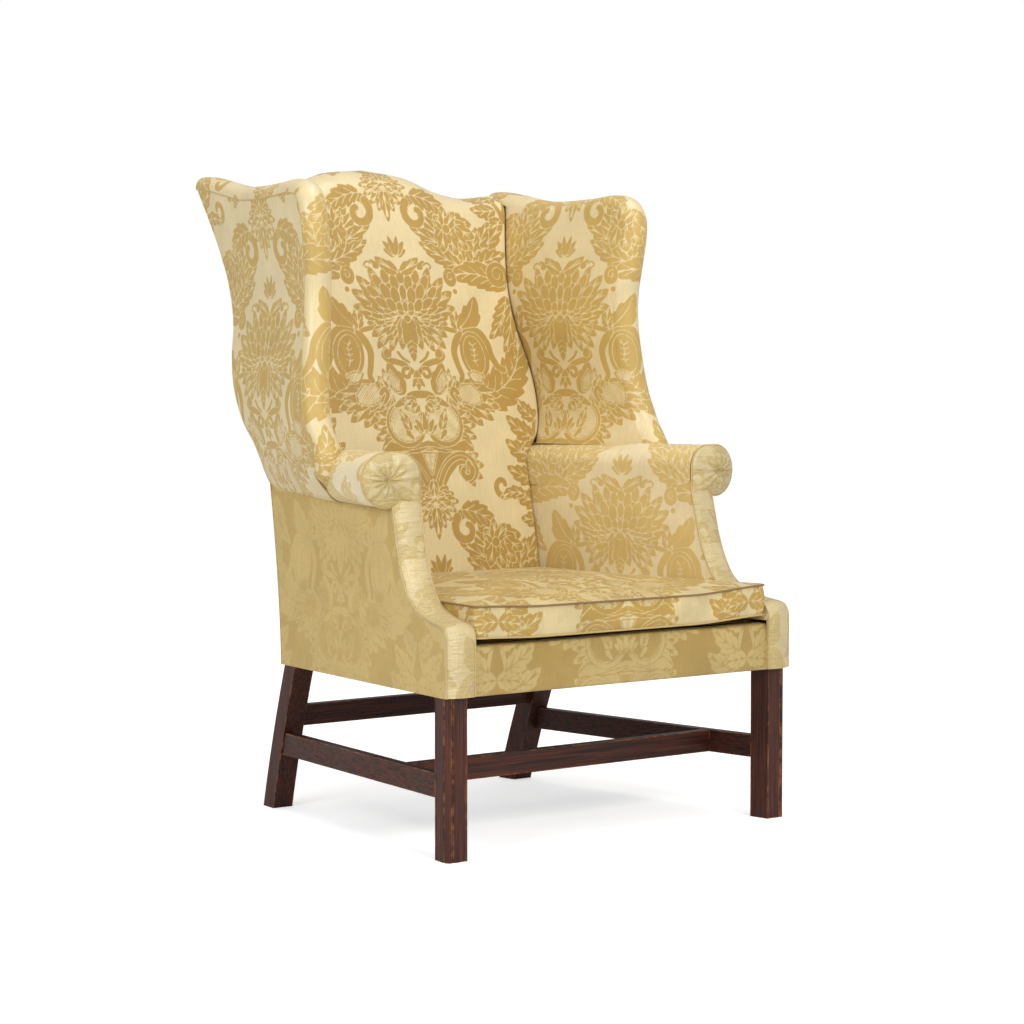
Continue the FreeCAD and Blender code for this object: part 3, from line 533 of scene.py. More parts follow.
def quadratic(a, b, c, t):
    t = np.asarray(t)[:, None]
    return a * (1 - t) ** 2 + 2 * b * t * (1 - t) + c * t ** 2


def ellipse_points(centre, size, tilt=0.0, count=36):
    turn = np.linspace(0.0, 2.0 * math.pi, count, endpoint=False)
    x, y = size[0] * np.cos(turn), size[1] * np.sin(turn)
    lean = math.radians(tilt)
    return np.array(centre) + np.stack([
        x * math.cos(lean) - y * math.sin(lean), x * math.sin(lean) + y * math.cos(lean)
    ], 1)


def curl(centre, radius, end_radius, start, stop, count=40):
    """A spiral between two angles in degrees."""
    turn = np.radians(np.linspace(start, stop, count))
    size = np.linspace(radius, end_radius, count)
    return np.array(centre) + np.stack([size * np.cos(turn), size * np.sin(turn)], 1)


def segment_distance(a, b, grid):
    run = b - a
    t = np.clip(((grid - a) @ run) / max(run @ run, 1e-9), 0.0, 1.0)
    return np.linalg.norm(grid - a - t[..., None] * run, axis=-1)


def line_distance(lines, grid):
    """Distance to the nearest of some paths."""
    best = np.full(grid.shape[:2], 40.0)
    for path in lines:
        for a, b in zip(path[:-1], path[1:]):
            best = np.minimum(best, segment_distance(a, b, grid))
    return best


def polygon_distance(points, grid):
    """Signed distance to a closed outline, positive inside."""
    best = np.full(grid.shape[:2], 1e6)
    odd = np.zeros(grid.shape[:2], bool)
    x, y = grid[..., 0], grid[..., 1]
    for a, b in zip(points, np.roll(points, -1, 0)):
        best = np.minimum(best, segment_distance(a, b, grid))
        spans = (a[1] > y) != (b[1] > y)
        rise = b[1] - a[1] if b[1] != a[1] else 1e-9
        odd ^= spans & (x < (b[0] - a[0]) * (y - a[1]) / rise + a[0])
    return np.where(odd, best, -best)


def weave_side_spray(loom):
    """Bouquets at the sides, between the main ones."""
    loom.stroke([(270, -395), (254, -340), (246, -290), (250, -230), (264, -175)], 5.0, 4.0)
    for base, tip, width in [
        ((262, -190), (222, -150), 40.0), ((252, -225), (192, -182), 48.0), ((246, -262), (180, -226), 48.0),
        ((246, -300), (176, -276), 46.0), ((250, -342), (184, -324), 46.0), ((256, -372), (196, -372), 44.0),
        ((264, -392), (220, -414), 42.0),
    ]:
        loom.leaf(base, tip, width, lobes=4, bend=0.14)
    loom.stroke(curl((160, -312), 22.0, 7.0, 320.0, 20.0), 7.0, 4.5)
    loom.leaf((214, -330), (150, -336), 30.0, lobes=4, bend=-0.25)
    loom.leaf((270, -240), (216, -246), 40.0, lobes=4)
    loom.leaf((270, -290), (222, -300), 40.0, lobes=4)
    loom.leaf((270, -338), (232, -350), 34.0, lobes=3)


def weave_upper_spray(loom):
    """Acanthus cluster and plume above the pods."""
    loom.sprays(
        (156, 104), [((66, 196), 52.0), ((96, 210), 50.0), ((128, 206), 44.0), ((44, 168), 50.0)],
        lobes=5, bend=-0.05,
    )
    loom.leaf((150, 96), (58, 140), 46.0, lobes=5, bend=0.06)
    loom.sprays(
        (178, 92), [((268, 178), 60.0), ((236, 184), 50.0), ((202, 172), 46.0), ((262, 122), 54.0)],
        lobes=5, bend=0.08,
    )
    loom.leaf((250, 56), (104, 72), 62.0, lobes=6, bend=-0.24, depth=0.16)
    loom.cut(quadratic(np.array([242.0, 60.0]), np.array([176.0, 96.0]), np.array([116.0, 76.0]),
                       np.linspace(0.0, 1.0, 12)))
    loom.ellipse((116, 74), (15.0, 17.0))
    loom.cut(curl((117, 75), 9.0, 3.0, 60.0, 400.0))
    loom.ellipse((122, 48), (5.0, 5.0))
    loom.ellipse((232, 82), (26.0, 24.0))
    loom.cut(curl((232, 82), 18.0, 4.0, -40.0, 420.0))


def weave_plume(loom):
    """Long feathered scroll round the pods."""
    loom.leaf((132, -152), (258, 4), 92.0, lobes=9, bend=-0.44, depth=0.24, fullness=0.6)
    loom.cut(quadratic(np.array([150.0, -146.0]), np.array([262.0, -125.0]), np.array([254.0, -4.0]),
                       np.linspace(0.0, 1.0, 16)))
    for k in range(6):
        place = quadratic(np.array([196.0, -126.0]), np.array([248.0, -98.0]), np.array([248.0, -30.0]),
                          np.array([k / 5.0]))[0]
        loom.ellipse(place, (2.8, 5.0), 40.0)
    loom.leaf((262, 18), (262, 46), 24.0, lobes=2)
    loom.leaf((244, 42), (184, -40), 52.0, lobes=5, bend=0.2)
    loom.leaf((252, 26), (214, -66), 44.0, lobes=4, bend=0.14)


def weave_flare(loom):
    """Serrated acanthus at either side of the cartouches."""
    loom.spray(
        (62, -138), [(106, -196), (134, -202), (162, -192), (182, -170), (188, -146)],
        54.0, lobes=4, bend=0.06, depth=0.3,
    )
    outer = [(84, -140), (96, -124), (122, -122), (142, -142), (140, -160), (112, -164), (92, -158)]
    loom.polygon(np.array(outer, float), hatch=5.2)
    loom.spray((70, -134), [(74, -94), (88, -108)], 20.0, lobes=2)
    loom.leaf((34, -142), (60, -82), 44.0, lobes=3, bend=-0.12, depth=0.15, veins=False)
    inner = [(40, -138), (42, -116), (58, -96), (66, -108), (64, -130), (52, -140)]
    loom.polygon(np.array(inner, float), hatch=5.2)
    loom.stroke([(86, -140), (78, -132), (72, -142), (80, -156)], 5.0, 4.0)


def weave_pods(loom):
    """Seed pods with a folded leaf above each."""
    loom.stroke([(80, -20), (100, -25), (122, -26), (140, -34)], 4.5, 4.0)
    loom.leaf((112, -24), (112, 20), 30.0, lobes=3, bend=0.1)
    loom.leaf((124, -24), (166, 40), 54.0, lobes=3, bend=-0.16, depth=0.22, veins=False)
    loom.cut([(122, -18), (138, -4), (152, 14), (160, 32)])
    loom.stroke([(140, -32), (112, -36), (95, -62), (98, -88), (104, -108), (100, -118)], 9.0, 5.0)
    loom.stroke([(130, -30), (158, -28), (176, -48), (182, -72), (194, -92), (206, -98)], 9.0, 6.0)
    loom.ellipse((142, -70), (33.0, 44.0), 10.0)
    loom.ellipse((141, -70), (24.0, 36.0), 8.0)
    loom.cut([(134, -44), (142, -60), (140, -78), (146, -92)])
    for k in range(4):
        z = -52.0 - 10.0 * k
        loom.cut([(142, z), (149, z + 4.0)])
        loom.cut([(140, z), (133, z + 3.0)])
    loom.polygon(np.array([(116, -104), (134, -98), (156, -106), (150, -124), (126, -122)], float), hatch=5.2)


def weave_bouquet(loom):
    """Main bouquet of acanthus leaves over a calyx, with its crown."""
    loom.sprays(
        (10, 2), [((50, -66), 36.0), ((78, -60), 42.0), ((86, -38), 44.0), ((92, -14), 40.0)],
        lobes=3, bend=0.05, depth=0.3,
    )
    loom.leaf((4, 0), (24, -62), 34.0, lobes=2, depth=0.12)
    loom.leaf((0, 6), (0, -84), 42.0, lobes=3, depth=0.2, veins=False)
    for z in (-44.0, -54.0, -64.0):
        loom.cut([(0, z), (13, z - 9.0)])
    loom.sprays(
        (22, 0), [((116, 18), 52.0), ((114, 48), 56.0), ((98, 74), 54.0), ((68, 92), 50.0)],
        lobes=4, bend=-0.04, depth=0.26,
    )
    loom.leaf((0, 0), (36, 94), 46.0, lobes=3, depth=0.2)
    for centre, size, tilt in [
        ((52, 62), (9.0, 17.0), -28.0), ((66, 44), (8.0, 16.0), -46.0), ((34, 74), (9.0, 14.0), -8.0),
        ((16, 62), (9.0, 16.0), -12.0), ((38, 44), (10.0, 18.0), -30.0), ((18, 38), (10.0, 17.0), -10.0),
        ((50, 24), (8.0, 17.0), -58.0), ((30, 20), (9.0, 15.0), -34.0), ((12, 14), (8.0, 13.0), -12.0),
    ]:
        loom.ellipse(centre, size, tilt)
    loom.ellipse((0, 74), (8.0, 13.0))
    loom.ellipse((0, 44), (8.0, 14.0))
    loom.ellipse((0, 18), (6.0, 10.0))
    loom.leaf((2, 82), (50, 110), 30.0, lobes=2, bend=-0.1, depth=0.2)
    loom.leaf((44, 88), (62, 104), 16.0, lobes=2, veins=False)
    loom.stroke([(58, 96), (68, 100), (76, 94), (70, 88)], 1.8, 1.5)
    loom.sprays(
        (0, 112), [((26, 124), 16.0), ((24, 140), 16.0), ((10, 150), 15.0)],
        lobes=2, veins=False, depth=0.15,
    )
    for lift in (2.0, -8.0):
        loom.cut([(0, 6 + lift), (18, 9 + lift), (40, 3 + lift), (62, 2 + lift), (86, 9 + lift)])
    for x, z in [(30, -6), (60, -5), (56, -30), (34, -36)]:
        loom.cut([(x - 5, z), (x + 6, z - 3)])
    loom.ellipse((0, -4), (8.0, 7.0))


def weave_scrolls(loom):
    """Pair of S-scrolls under the bouquet with a small pendant."""
    loom.stroke([(60, -62), (66, -72), (56, -80), (38, -84), (22, -90), (10, -100), (0, -108)], 6.0, 5.0)
    loom.stroke([(34, -66), (26, -76), (12, -84)], 3.0, 2.0)
    loom.ellipse((58, -68), (9.0, 9.0))
    loom.stroke(curl((22, -104), 10.0, 6.0, 120.0, -170.0), 4.0, 3.4)
    loom.leaf((0, -98), (0, -136), 20.0, lobes=2, depth=0.2, veins=False)
    loom.leaf((2, -112), (14, -130), 12.0, lobes=2, veins=False)


def weave_cartouche(loom):
    """Teardrop cartouches either side of a small bouquet, over a lower body of leaves."""
    loom.spray(
        (48, -196), [(108, -176), (116, -200), (114, -224), (104, -246)],
        44.0, lobes=4, depth=0.3,
    )
    loom.polygon(np.array([(0, -226), (40, -236), (84, -226), (104, -244), (94, -262), (0, -262)], float))
    loom.ellipse((42, -196), (44.0, 42.0), -16.0)
    loom.ellipse((42, -194), (37.0, 35.0), -16.0, hatch=4.6)
    loom.leaf((34, -210), (52, -166), 24.0, lobes=3, depth=0.2)
    loom.leaf((46, -206), (28, -226), 13.0, lobes=2, veins=False)
    loom.leaf((30, -150), (64, -166), 18.0, lobes=2, veins=False)
    loom.stroke([(0, -142), (20, -144), (34, -152)], 7.0, 6.0)
    loom.spray((8, -160), [(46, -150), (42, -168), (26, -176)], 26.0, lobes=2, depth=0.2)
    loom.spray((0, -214), [(28, -198), (22, -186), (0, -174)], 17.0, lobes=2, depth=0.2, veins=False)
    loom.cut([(0, -206), (8, -212), (16, -206)])


def weave_palmette(loom):
    """Palmette of scrolls round a latticed triangle, with a neck and pendant under it."""
    loom.spray((66, -268), [(112, -252), (122, -274), (116, -298), (96, -312)], 36.0, lobes=3)
    loom.polygon(np.array([
        (0, -236), (50, -244), (96, -250), (100, -268), (60, -272), (40, -290), (24, -312), (0, -322),
    ], float))
    arch = [(10, -310), (22, -286), (42, -264), (70, -254), (94, -266), (100, -286), (86, -300)]
    loom.stroke(arch, 8.0, 7.0)
    loom.stroke(curl((78, -284), 17.0, 6.0, 60.0, -230.0), 6.5, 5.0)
    loom.cut([(12, -300), (24, -278), (42, -262), (64, -254), (84, -258), (94, -274)])
    loom.cut([(0, -240), (30, -248), (70, -246)])
    loom.polygon(np.array([(-18, -246), (18, -246), (3, -288), (-3, -288)], float), hatch=5.2)
    loom.ellipse((20, -318), (14.0, 9.0), 30.0)
    loom.leaf((0, -296), (0, -338), 26.0, lobes=3, depth=0.2)
    loom.spray((4, -332), [(44, -322), (54, -338), (46, -356)], 30.0, lobes=3)
    loom.spray((0, -342), [(34, -372), (18, -386), (0, -406)], 30.0, lobes=3)
    loom.cut([(0, -346), (16, -350), (34, -344)])
    loom.cut([(0, -326), (10, -330), (22, -326)])


def weave_side_scroll(loom):
    """C-scrolls and flower sprays beside the pendant."""
    loom.stroke(curl((68, -388), 32.0, 28.0, 0.0, 180.0), 9.0, 9.0)
    loom.stroke(curl((64, -388), 28.0, 9.0, 130.0, 420.0), 9.0, 6.0)
    loom.leaf((56, -352), (140, -392), 52.0, lobes=5, bend=0.2)
    loom.spray(
        (126, -400), [(192, -404), (196, -430), (174, -454), (146, -466), (112, -460)],
        50.0, lobes=3,
    )
    loom.spray((130, -414), [(104, -388), (128, -368), (156, -380)], 28.0, lobes=2, depth=0.2)
    loom.ellipse((130, -414), (9.0, 9.0))


def weave():
    """The whole repeat, as the signed distance to the figure for p from 0 and q from 0."""
    loom = Loom()
    weave_side_spray(loom)
    weave_upper_spray(loom)
    weave_side_scroll(loom)
    weave_plume(loom)
    weave_flare(loom)
    weave_cartouche(loom)
    weave_palmette(loom)
    weave_pods(loom)
    weave_scrolls(loom)
    weave_bouquet(loom)
    return loom.field()


FIGURE = weave()


def damask(cloth, place):
    """Signed distance in millimetres to the woven figure at each cloth coordinate."""
    axis, calyx = place
    across = np.abs((cloth[:, 0] - axis + REPEAT_WIDE / 2.0) % REPEAT_WIDE - REPEAT_WIDE / 2.0)
    up = (cloth[:, 1] - calyx) % REPEAT_HIGH
    column = np.clip(np.floor(across).astype(int), 0, FIGURE.shape[1] - 2)
    row = np.floor(up).astype(int) % int(REPEAT_HIGH)
    after = (row + 1) % int(REPEAT_HIGH)
    s, t = across - column, up - np.floor(up)
    low = FIGURE[row, column] * (1.0 - s) + FIGURE[row, column + 1] * s
    high = FIGURE[after, column] * (1.0 - s) + FIGURE[after, column + 1] * s
    return np.clip(low * (1.0 - t) + high * t, -3.0, 3.0)


def new_material(name):
    """A node material, with its tree and its Principled shader."""
    material = bpy.data.materials.new(name)
    material.use_nodes = True
    tree = material.node_tree
    return material, tree, tree.nodes["Principled BSDF"]


def node(tree, kind, **inputs):
    """A shader node with some of its inputs set by name."""
    made = tree.nodes.new("ShaderNode" + kind)
    for name, value in inputs.items():
        made.inputs[name.replace("_", " ")].default_value = value
    return made


def mixed(tree, factor, a, b, blend="MIX"):
    """Output of a colour mix whose factor, A and B are each a value or another node's output."""
    mix = tree.nodes.new("ShaderNodeMix")
    mix.data_type = "RGBA"
    mix.blend_type = blend
    for name, value in (("Factor", factor), ("A", a), ("B", b)):
        socket = [i for i in mix.inputs if i.name == name and i.enabled][0]
        if isinstance(value, bpy.types.NodeSocket):
            tree.links.new(value, socket)
        else:
            socket.default_value = value
    return [o for o in mix.outputs if o.enabled][0]


def noise(tree, vector, size, detail=3.0, stretch=(1.0, 1.0, 1.0)):
    """Noise whose cells are about size units of the vector across, drawn out by stretch."""
    scale = tree.nodes.new("ShaderNodeMapping")
    scale.inputs["Scale"].default_value = [1.0 / (size * k) for k in stretch]
    tree.links.new(vector, scale.inputs["Vector"])
    made = node(tree, "TexNoise", Scale=1.0, Detail=detail, Roughness=0.55)
    tree.links.new(scale.outputs["Vector"], made.inputs["Vector"])
    return made.outputs["Fac"]


def ranged(tree, value, low, high, to_low, to_high):
    """Output that runs from to_low to to_high while the value runs from low to high."""
    made = tree.nodes.new("ShaderNodeMapRange")
    made.inputs["From Min"].default_value = low
    made.inputs["From Max"].default_value = high
    made.inputs["To Min"].default_value = to_low
    made.inputs["To Max"].default_value = to_high
    tree.links.new(value, made.inputs["Value"])
    return made.outputs["Result"]


def bumped(tree, shader, height, distance, strength=1.0, normal=None):
    """Bump whose distance is in metres, on top of another normal and onto a shader where given."""
    bump = node(tree, "Bump", Strength=strength, Distance=distance)
    tree.links.new(height, bump.inputs["Height"])
    if normal is not None:
        tree.links.new(normal, bump.inputs["Normal"])
    if shader is not None:
        tree.links.new(bump.outputs["Normal"], shader.inputs["Normal"])
    return bump.outputs["Normal"]


def cloth_material(name, ground, figure_colour, rough=(0.34, 0.55), sheen=0.25, pulls=0.0, shading=0.06):
    """Satin damask: a smooth ground with fine streaks of the weave, and a duller woven figure."""
    material, tree, shader = new_material(name)
    layer = tree.nodes.new("ShaderNodeAttribute")
    layer.attribute_name = "figure"
    cloth = tree.nodes.new("ShaderNodeAttribute")
    cloth.attribute_name = "cloth"
    vector = cloth.outputs["Vector"]
    figure = ranged(tree, layer.outputs["Fac"], -0.55, 0.55, 0.0, 1.0)
    base = mixed(tree, figure, ground, figure_colour)
    streak = noise(tree, vector, 1.3, 2.0, (1.0, 38.0, 1.0))
    slub = noise(tree, vector, 2.2, 2.0, (26.0, 1.0, 1.0))
    # Broad soft patches: partly the cloth's own uneven tone and partly painted satin sheen and shade, as
    # strong as shading sets
    sheen_and_tone = noise(tree, vector, 70.0, 3.0)
    tone = ranged(tree, streak, 0.25, 0.75, 0.92, 1.07)
    base = mixed(tree, 1.0, base, tone, "MULTIPLY")
    base = mixed(tree, 1.0, base, ranged(tree, slub, 0.3, 0.7, 0.985, 1.015), "MULTIPLY")
    base = mixed(tree, 1.0, base, ranged(tree, sheen_and_tone, 0.3, 0.7, 1.0 - shading, 1.0 + shading), "MULTIPLY")
    tree.links.new(base, shader.inputs["Base Color"])
    tree.links.new(ranged(tree, figure, 0.0, 1.0, rough[0], rough[1]), shader.inputs["Roughness"])
    shader.inputs["Sheen Weight"].default_value = sheen
    shader.inputs["Sheen Roughness"].default_value = 0.35
    shader.inputs["Sheen Tint"].default_value = (1.0, 0.93, 0.74, 1.0)
    shader.inputs["Specular IOR Level"].default_value = 0.6
    uneven = noise(tree, vector, 26.0, 3.0, (1.0, 1.6, 1.0))
    normal = bumped(tree, None, uneven, 0.0011, 0.6)
    if pulls:
        crossing = noise(tree, vector, 7.0, 3.0, (4.5, 1.0, 1.0))
        normal = bumped(tree, None, crossing, pulls, 0.8, normal)
    threads = tree.nodes.new("ShaderNodeMath")
    threads.operation = "ADD"
    tree.links.new(streak, threads.inputs[0])
    tree.links.new(slub, threads.inputs[1])
    bumped(tree, shader, threads.outputs["Value"], 0.00010, 0.7, normal)
    return material


def make_inside_back(material):
    """The stuffed inside back, rolled over the crest, with its sides rounded into the wings and arms."""
    edge_radius = 9.0
    tuck = 12.0
    roll_deep = 58.0
    roll_high = 48.0
    rear_high = 14.0
    widest = 290.0
    roll_length = 90.0
    rear_length = 34.0
    fullness = 9.0
    rake = upper_rake / (overall_height - arm_height)
    start_angle = math.atan(rake * roll_high / roll_deep)
    face_count = int((overall_height - tuck_height) / spacing)
    roll_count = int(roll_length / spacing)
    rear_count = int(rear_length / spacing)
    half_count = int(widest / spacing)

    share = np.linspace(-1.0, 1.0, 2 * half_count + 1)[None, :]
    half = np.full((face_count + roll_count + rear_count, share.shape[1]), widest)
    t_face = np.linspace(0.0, 1.0, face_count, endpoint=False)[:, None]
    t_roll = np.linspace(0.0, 1.0, roll_count, endpoint=False)[:, None]
    t_rear = np.linspace(0.0, 1.0, rear_count)[:, None]
    for _ in range(3):
        flat = half - edge_radius
        quarter = edge_radius * math.pi / 2.0
        length = (flat + quarter + tuck) * np.abs(share)
        bend = np.clip((length - flat) / edge_radius, 0.0, math.pi / 2.0)
        x = np.where(length < flat, length, flat + edge_radius * np.sin(bend))
        sunk = edge_radius * (1.0 - np.cos(bend)) + np.maximum(length - flat - quarter, 0.0)
        top = crest_height(x)
        crown = fullness * (1.0 - (x / half) ** 2)
        face_top = top - roll_high * (1.0 - math.sin(start_angle))
        rows_face = slice(0, face_count)
        rows_roll = slice(face_count, face_count + roll_count)
        rows_rear = slice(face_count + roll_count, None)
        z = np.empty_like(x)
        y = np.empty_like(x)
        z[rows_face] = tuck_height + (face_top[rows_face] - tuck_height) * t_face
        fade = np.minimum(1.0, (1.0 - t_face) / 0.25)
        full = crown[rows_face] * ease(0.0, 1.0, fade) * (0.75 + 0.25 * np.sin(t_face * math.pi))
        y[rows_face] = rear(z[rows_face]) - back_thickness - full
        turn = start_angle + (math.pi / 2.0 - start_angle) * t_roll
        foot = rear(face_top) - back_thickness
        y[rows_roll] = (foot + roll_deep * math.cos(start_angle))[rows_roll] - roll_deep * np.cos(turn)
        z[rows_roll] = (face_top - roll_high * math.sin(start_angle))[rows_roll] + roll_high * np.sin(turn)
        ridge = (foot + roll_deep * math.cos(start_angle))[rows_rear]
        seam = top[rows_rear] - roll_over - 2.0
        down = np.clip(t_rear * 1.6, 0.0, 1.0) * math.pi / 2.0
        behind = rear(top[rows_rear] - rear_high) + 2.0
        y[rows_rear] = ridge + (behind - ridge) * np.sin(down)
        z[rows_rear] = top[rows_rear] - rear_high * (1.0 - np.cos(down))
        drop = np.clip((t_rear - 0.625) / 0.375, 0.0, 1.0)
        z[rows_rear] -= (top[rows_rear] - rear_high - seam) * drop
        y[rows_rear] += (rear(seam) - rear(top[rows_rear] - rear_high)) * drop
        in_wing = wing_face(y, z) - wing_thickness - 1.0
        in_arm = side(y) - arm_thickness - 1.0
        half = in_arm + (in_wing - in_arm) * ease(meet_low, meet_high, z)
    points = np.stack([x * np.sign(share), y, z], -1)
    inward = unit(np.cross(np.gradient(points, axis=0), [1.0, 0.0, 0.0]))
    points = points + inward * sunk[..., None]
    climb = points[..., 2].copy()
    arc = run_length(points)
    climb[face_count:] = climb[face_count - 1] + (arc[face_count:] - arc[face_count - 1]) / 1.04
    cloth = np.stack([length * np.sign(share), climb], -1)
    piece = grid_piece("inside_back_cover", points, 1.0, material, cloth, LAID["inside_back"])
    return ride(piece, "damask", "inside_back")


def wing_outline():
    """Edge of a wing in side view from the arm up and back to the ear, with its inward normals."""
    edge = dense(wing_edge + [(784.0, overall_height - ear_drop)], spacing)
    past_back = edge[:, 0] >= rear(edge[:, 1]) - 1.0
    edge = edge[:int(np.argmax(past_back))]
    ahead = unit(np.gradient(edge, axis=0))
    inward = np.stack([ahead[:, 1], -ahead[:, 0]], 1)
    return edge, inward


def outer_face(y, z):
    """Half width over the outside of a wing, where it sinks onto the arm roll below it."""
    roll_x, roll_z, radius = roll_at(y)
    across = np.sqrt(np.maximum(radius ** 2 - (z - roll_z) ** 2, 0.0))
    on_roll = roll_x + np.where(z > roll_z, radius, across)
    return on_roll + (wing_face(y, z) - on_roll) * ease(sink_low, sink_high, z)


def coons(left, right, bottom, top):
    """Grid of points filled in between four edges."""
    s = np.linspace(0.0, 1.0, len(left))[:, None, None]
    t = np.linspace(0.0, 1.0, len(top))[None, :, None]
    return (
        (1 - t) * left[:, None] + t * right[:, None] + (1 - s) * bottom[None] + s * top[None]
        - (1 - s) * (1 - t) * left[0] - (1 - s) * t * right[0]
        - s * (1 - t) * left[-1] - s * t * right[-1]
    )


def make_inside_wing(name, way, material, place):
    """Inside of a wing, rolled round its leading and top edges to a seam on the outside."""
    edge, inward = wing_outline()
    half_thick = (wing_thickness + 2.0) / 2.0
    turns = max(8, int(math.pi * 25.0 / spacing))
    angle = np.linspace(-math.pi / 2.0, math.pi / 2.0, turns)
    sunk = roll_over * (1.0 - np.cos(angle)[None, :])
    flat = edge[:, None, :] + inward[:, None, :] * sunk[..., None]
    inset = half_thick * (1.0 + np.sin(angle))[None, :] - 2.0
    y, z = flat[..., 0], flat[..., 1]
    buried = 5.0 * (1.0 - ease(584.0, 604.0, z))
    x = outer_face(y, z) - inset - buried
    strip = np.stack([x, y, z], -1)
    seam = flat[:, 0]

    # The open end at the ear is closed with a cap that drops to the outside back
    last = strip[-1]
    chord = last[0] + (last[-1] - last[0]) * np.linspace(0.0, 1.0, len(last))[:, None]
    cap = last + (chord - last) * np.linspace(0.0, 1.0, 7)[1:, None, None]
    cap[..., 1] = rear(cap[..., 2]) + 1.5

    def seam_y(height):
        return rear(height) - back_thickness + 12.0

    inner = flat[:, -1, :]
    stop = int(np.argmax(inner[:, 0] > seam_y(inner[:, 1])))
    low = int(np.argmax(inner[:, 1] > arm_height - 24.0))
    corner = nearest(inner, 396.0, 1074.0)
    left = inner[low:corner + 1]
    top = inner[corner:stop + 1]
    rows, columns = len(left), len(top)
    right_z = np.linspace(left[0, 1], top[-1, 1], rows)
    right = np.stack([seam_y(right_z) + (top[-1, 0] - seam_y(top[-1, 1])), right_z], 1)
    bottom = left[0] + (right[0] - left[0]) * np.linspace(0.0, 1.0, columns)[:, None]
    core = coons(left, right, bottom, top)
    across = np.linspace(0.0, 1.0, columns)[None, :]
    climb = np.linspace(0.1, 1.0, rows)[:, None]
    bulge = np.sin(across * math.pi) ** 0.8 * np.sin(climb * math.pi) ** 0.7
    y, z = core[..., 0], core[..., 1]
    tuck = np.clip((y - (seam_y(z) - 22.0)) / 22.0, 0.0, 0.995)
    x = outer_face(y, z) - inset[0, -1] - 9.0 * bulge + 8.0 * (1.0 - np.sqrt(1.0 - tuck ** 2))
    core_points = np.stack([x, y, z], -1)

    past = run_length(strip, 1)
    past = past[:, -1:] - past
    cloth_strip = flat[:, -1:, :] - inward[:, None, :] * past[..., None]
    strip = np.concatenate([strip, cap])
    cloth_strip = np.concatenate([cloth_strip, cloth_strip[-1] + (cap - last)[..., 1:]])
    strip_rows, strip_columns = strip.shape[:2]
    points = np.concatenate([strip.reshape(-1, 3), core_points.reshape(-1, 3)])
    cloth = np.concatenate([cloth_strip.reshape(-1, 2), core.reshape(-1, 2)])
    start = strip_rows * strip_columns
    at_core = start + np.arange(rows * columns).reshape(rows, columns)
    number = np.arange(len(points))
    last = strip_columns - 1
    number[at_core[:, 0]] = (low + np.arange(rows)) * strip_columns + last
    number[at_core[-1, :]] = (corner + np.arange(columns)) * strip_columns + last
    faces = np.concatenate([
        grid_faces(strip_rows, strip_columns, flip=True),
        grid_faces(rows, columns, start, flip=True),
    ])
    faces = number[faces]
    used = np.unique(faces)
    renumber = np.zeros(len(points), int)
    renumber[used] = np.arange(len(used))
    points, cloth, faces = points[used], cloth[used], renumber[faces]
    if way < 0:
        points = mirrored(points)
        faces = faces[:, ::-1]
    piece = mesh_object(name, points, faces, material, cloth, damask(cloth, place))
    return piece, seam


def make_outside_wing(name, way, material, place, seam):
    """Outside of a wing, down over the rear of the arm roll to the crease under it."""
    foot = arm_height - 42.0
    start = int(np.argmax(seam[:, 1] > foot))
    corner = nearest(seam, 400.0, 1070.0)
    left = seam[start:corner + 1]
    top = seam[corner:]
    rows, columns = len(left), len(top)
    share = np.linspace(0.0, 1.0, columns)
    reach = np.array([rear(top[-1, 1]) + 1.0, top[-1, 1]]) - top[-1]
    top = top + reach * ease(0.85, 1.0, share)[:, None]
    right_z = np.linspace(left[0, 1], top[-1, 1], rows)
    right = np.stack([rear(right_z) + 1.0, right_z], 1)
    bottom = left[0] + (right[0] - left[0]) * share[:, None]
    core = coons(left, right, bottom, top)
    y, z = core[..., 0], core[..., 1]
    upper_part = np.stack([outer_face(y, z) + 1.2, y, z], -1)

    step = math.degrees(spacing / rear_roll_radius)
    under = np.radians(np.arange(roll_tuck, 0.0, step))[:, None]
    y = core[0, :, 0][None, :] - 8.0 * np.sin(under) * (1.0 - share[None, :])
    z = foot + rear_roll_radius * np.sin(under) + 0.0 * y
    y = y - share[None, :] * (rear(core[0, :, 1])[None, :] - rear(z))
    roll_x, roll_z, radius = roll_at(y)
    z = roll_z + (radius + 1.2) * np.sin(under)
    x = roll_x + (radius + 1.2) * np.cos(under)
    x = x + (wing_face(y, z) - roll_x - radius) * ease(sink_low, sink_high, z)
    lower_part = np.stack([x, y, z], -1)
    points = np.concatenate([lower_part, upper_part])
    low_cloth = np.stack([y, left[0, 1] + rear_roll_radius * under + 0.0 * y], -1)
    cloth = np.concatenate([low_cloth, core])
    piece = grid_piece(name, points, way, material, cloth, place)
    border = np.concatenate([points[:, 0], points[-1, 1:]])
    return piece, border


